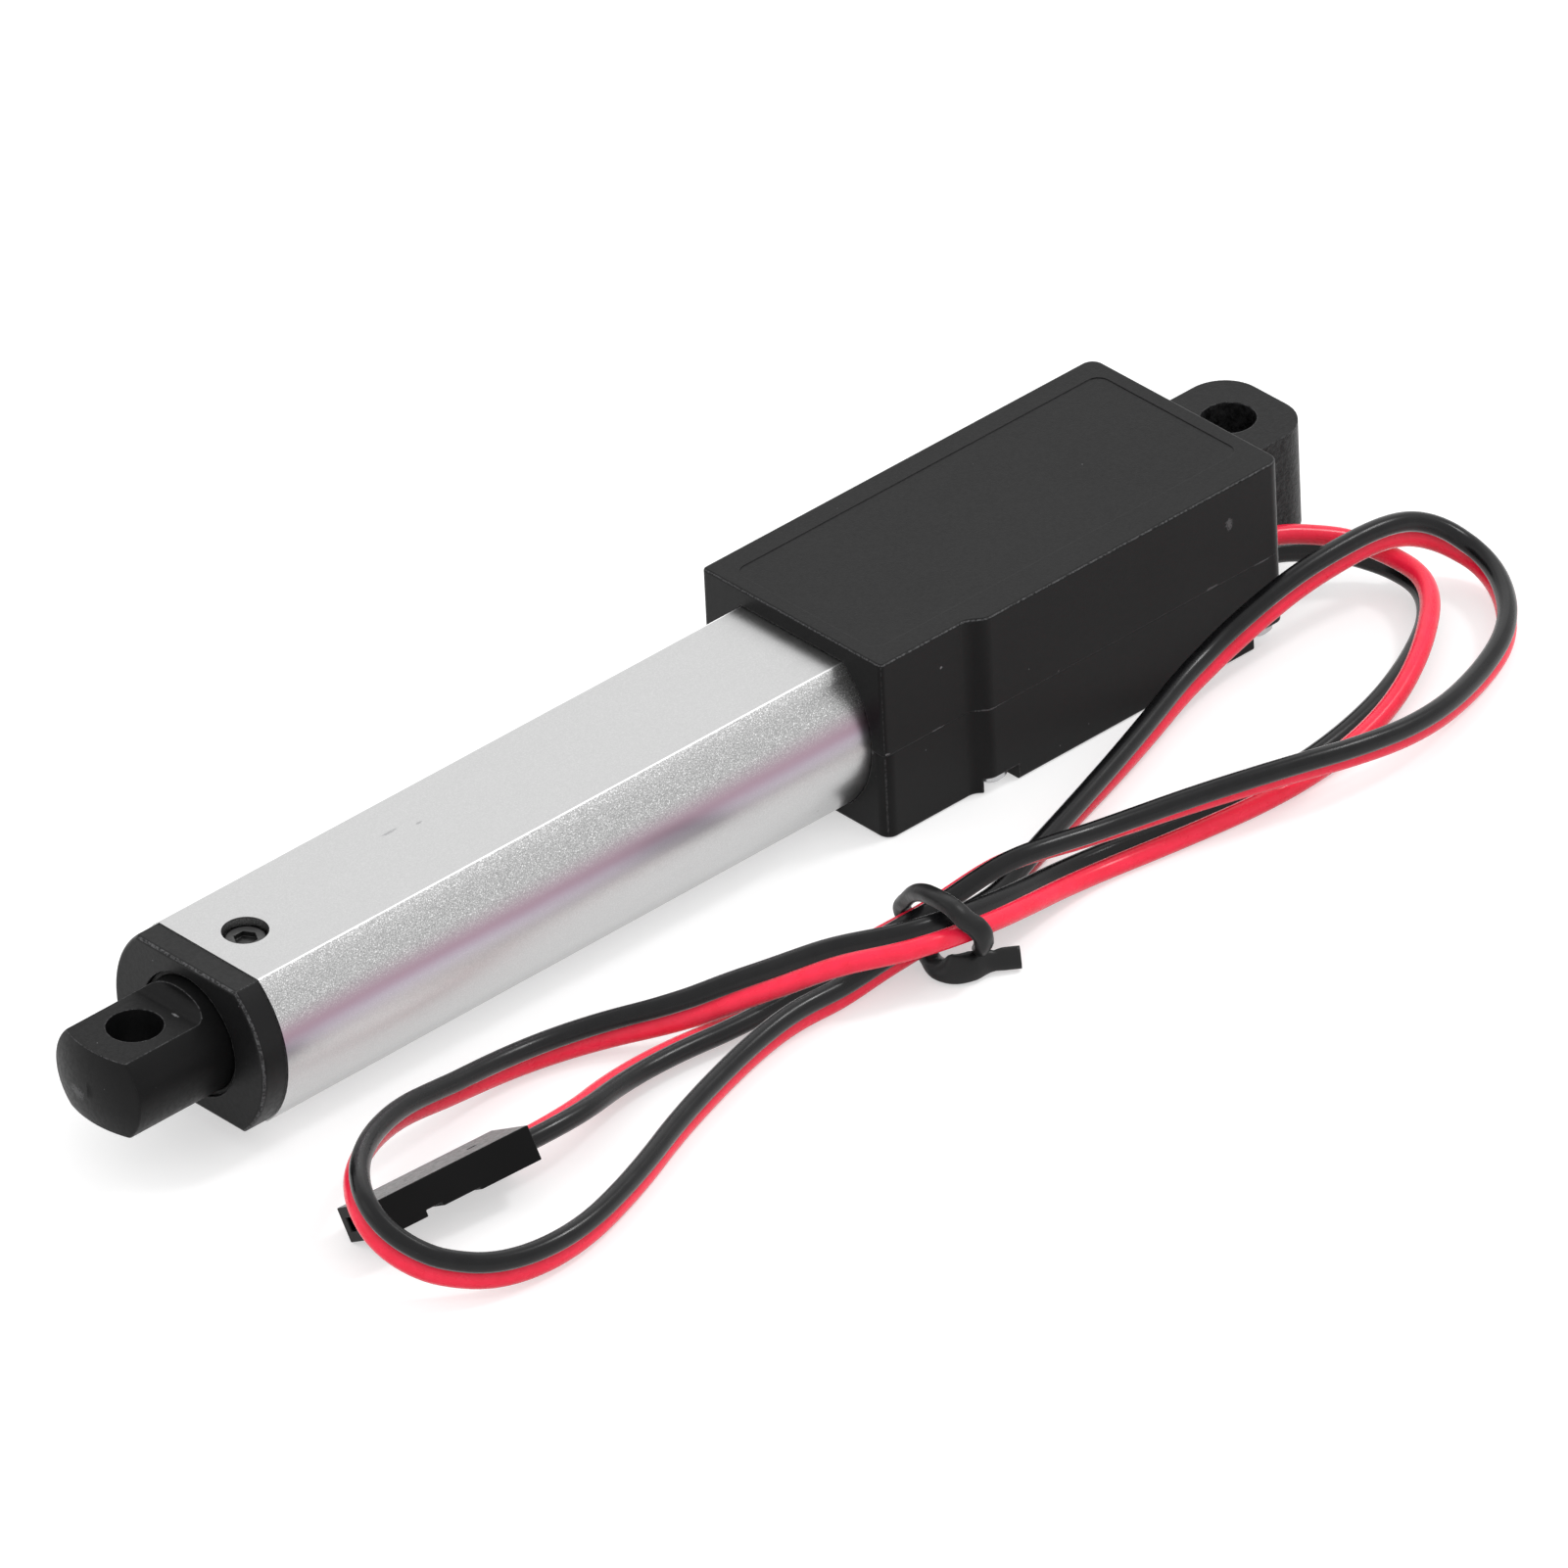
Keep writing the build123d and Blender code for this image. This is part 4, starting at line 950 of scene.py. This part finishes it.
def cutWith(piece, cutter):
    modifier = piece.modifiers.new("cut", "BOOLEAN")
    modifier.operation = "DIFFERENCE"
    modifier.solver = "EXACT"
    modifier.object = cutter
    selectOnly(piece)
    bpy.ops.object.modifier_apply(modifier=modifier.name)
    bpy.data.objects.remove(cutter)


def plugCuts():
    # two opposite corners of each cut: groove, step, then pin hole and wire hole of each cell, and a nick
    w, h, length, past = plug["width"], plug["height"], plug["length"], plug["past"]
    stepEnd = plug["grooveStart"] + 0.0001
    cuts = [
        ((-past, h - plug["grooveDepth"], plug["grooveStart"]), (w + past, h + past, plug["grooveEnd"])),
        ((-past, h - plug["stepDepth"], plug["stepStart"]), (w + past, h + past, stepEnd)),
    ]
    for middle in (w / 4, 3 * w / 4):
        for half, start, end in ((plug["pinHalf"], length - plug["pinDepth"], length + past),
                                 (plug["wireHalf"], -past, plug["wireDepth"])):
            cuts.append(((middle - half, h / 2 - half, start), (middle + half, h / 2 + half, end)))
    (x0, z0), (x1, z1) = plug["nickFrom"], plug["nickTo"]
    cuts.append(((x0, -past, z0), (x1, plug["nickDepth"], z1)))
    return cuts


def makePlug():
    bpy.ops.object.select_all(action="DESELECT")
    piece = boxBetween("plugShell", (0, 0, 0), (plug["width"], plug["height"], plug["length"]))
    for low, high in plugCuts():
        cutWith(piece, boxBetween("cut", low, high))
    bevel = piece.modifiers.new("edges", "BEVEL")
    bevel.width = plug["edge"]
    bevel.segments = 2
    bevel.limit_method = "ANGLE"
    selectOnly(piece)
    bpy.ops.object.modifier_apply(modifier=bevel.name)
    turn = Matrix((plug["across"], plug["down"], plug["along"])).transposed().to_4x4()
    piece.data.transform(Matrix.Translation(plug["corner"]) @ turn)
    piece.data.materials.append(plugBlack)
    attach(piece, "housing")
    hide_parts("connector_housing")
    return piece


plugShell = makePlug()
print("connector made")


light = {
    "worldLight": 1.08,        # on matt surfaces; the camera and reflections see white
    "floorShade": 0.60,
    "floorGlow": 0.50,         # for the camera and reflections only
    "floorRoughness": 0.9,
    "floorSpecular": 0.1,
    "floorSize": 6,
    "floorGap": 0.00002,       # under the lowest piece
    "aim": (0.045, 0.0, 0.0),
    # name, place, size and power
    "lamps": [
        ("farSoftbox", (-0.50, -0.62, 0.62), 0.75, 0.9),
        ("sideFill", (0.75, -0.45, 0.55), 0.6, 0.5),
        ("highGlint", (-0.56, 0.22, 0.80), 0.16, 2.6),
    ],
}


def cameraOrMirror(tree):
    # one for camera, glossy and transmission rays
    rays = tree.nodes.new("ShaderNodeLightPath")
    seen = sums(tree, "ADD", rays.outputs["Is Camera Ray"], rays.outputs["Is Glossy Ray"])
    every = addNode(tree, "ShaderNodeMath", operation="ADD", use_clamp=True)
    tree.links.new(seen, every.inputs[0])
    tree.links.new(rays.outputs["Is Transmission Ray"], every.inputs[1])
    return every.outputs[0]


def paleFloor():
    bpy.ops.object.select_all(action="DESELECT")
    height = floorHeight - light["floorGap"]
    bpy.ops.mesh.primitive_plane_add(size=light["floorSize"], location=(0, 0, height))
    sheet = bpy.context.object
    sheet.name = "paleFloor"
    material, tree, shader = newMaterial("floorWhite")
    shader.inputs["Base Color"].default_value = (*[light["floorShade"]] * 3, 1)
    shader.inputs["Roughness"].default_value = light["floorRoughness"]
    shader.inputs["Specular IOR Level"].default_value = light["floorSpecular"]
    shader.inputs["Emission Color"].default_value = (1, 1, 1, 1)
    glow = sums(tree, "MULTIPLY", cameraOrMirror(tree), light["floorGlow"])
    tree.links.new(glow, shader.inputs["Emission Strength"])
    sheet.data.materials.append(material)


def softLamp(name, place, size, power):
    data = bpy.data.lights.new(name, "AREA")
    data.shape = "SQUARE"
    data.size = size
    data.energy = power
    lamp = bpy.data.objects.new(name, data)
    bpy.context.scene.collection.objects.link(lamp)
    lamp.location = place
    aim = Vector(light["aim"]) - Vector(place)
    lamp.rotation_euler = aim.to_track_quat("-Z", "Y").to_euler()


def whiteWorld():
    world = bpy.data.worlds.new("studioRoom")
    bpy.context.scene.world = world
    world.use_nodes = True
    tree = world.node_tree
    back = tree.nodes["Background"]
    back.inputs["Color"].default_value = (1, 1, 1, 1)
    strength = spread(tree, cameraOrMirror(tree), 0.0, 1.0, light["worldLight"], 1.0, "LINEAR")
    tree.links.new(strength, back.inputs["Strength"])


paleFloor()
for lampRow in light["lamps"]:
    softLamp(*lampRow)
whiteWorld()
bpy.context.scene.view_settings.view_transform = "Standard"
print("floor and lamps made")
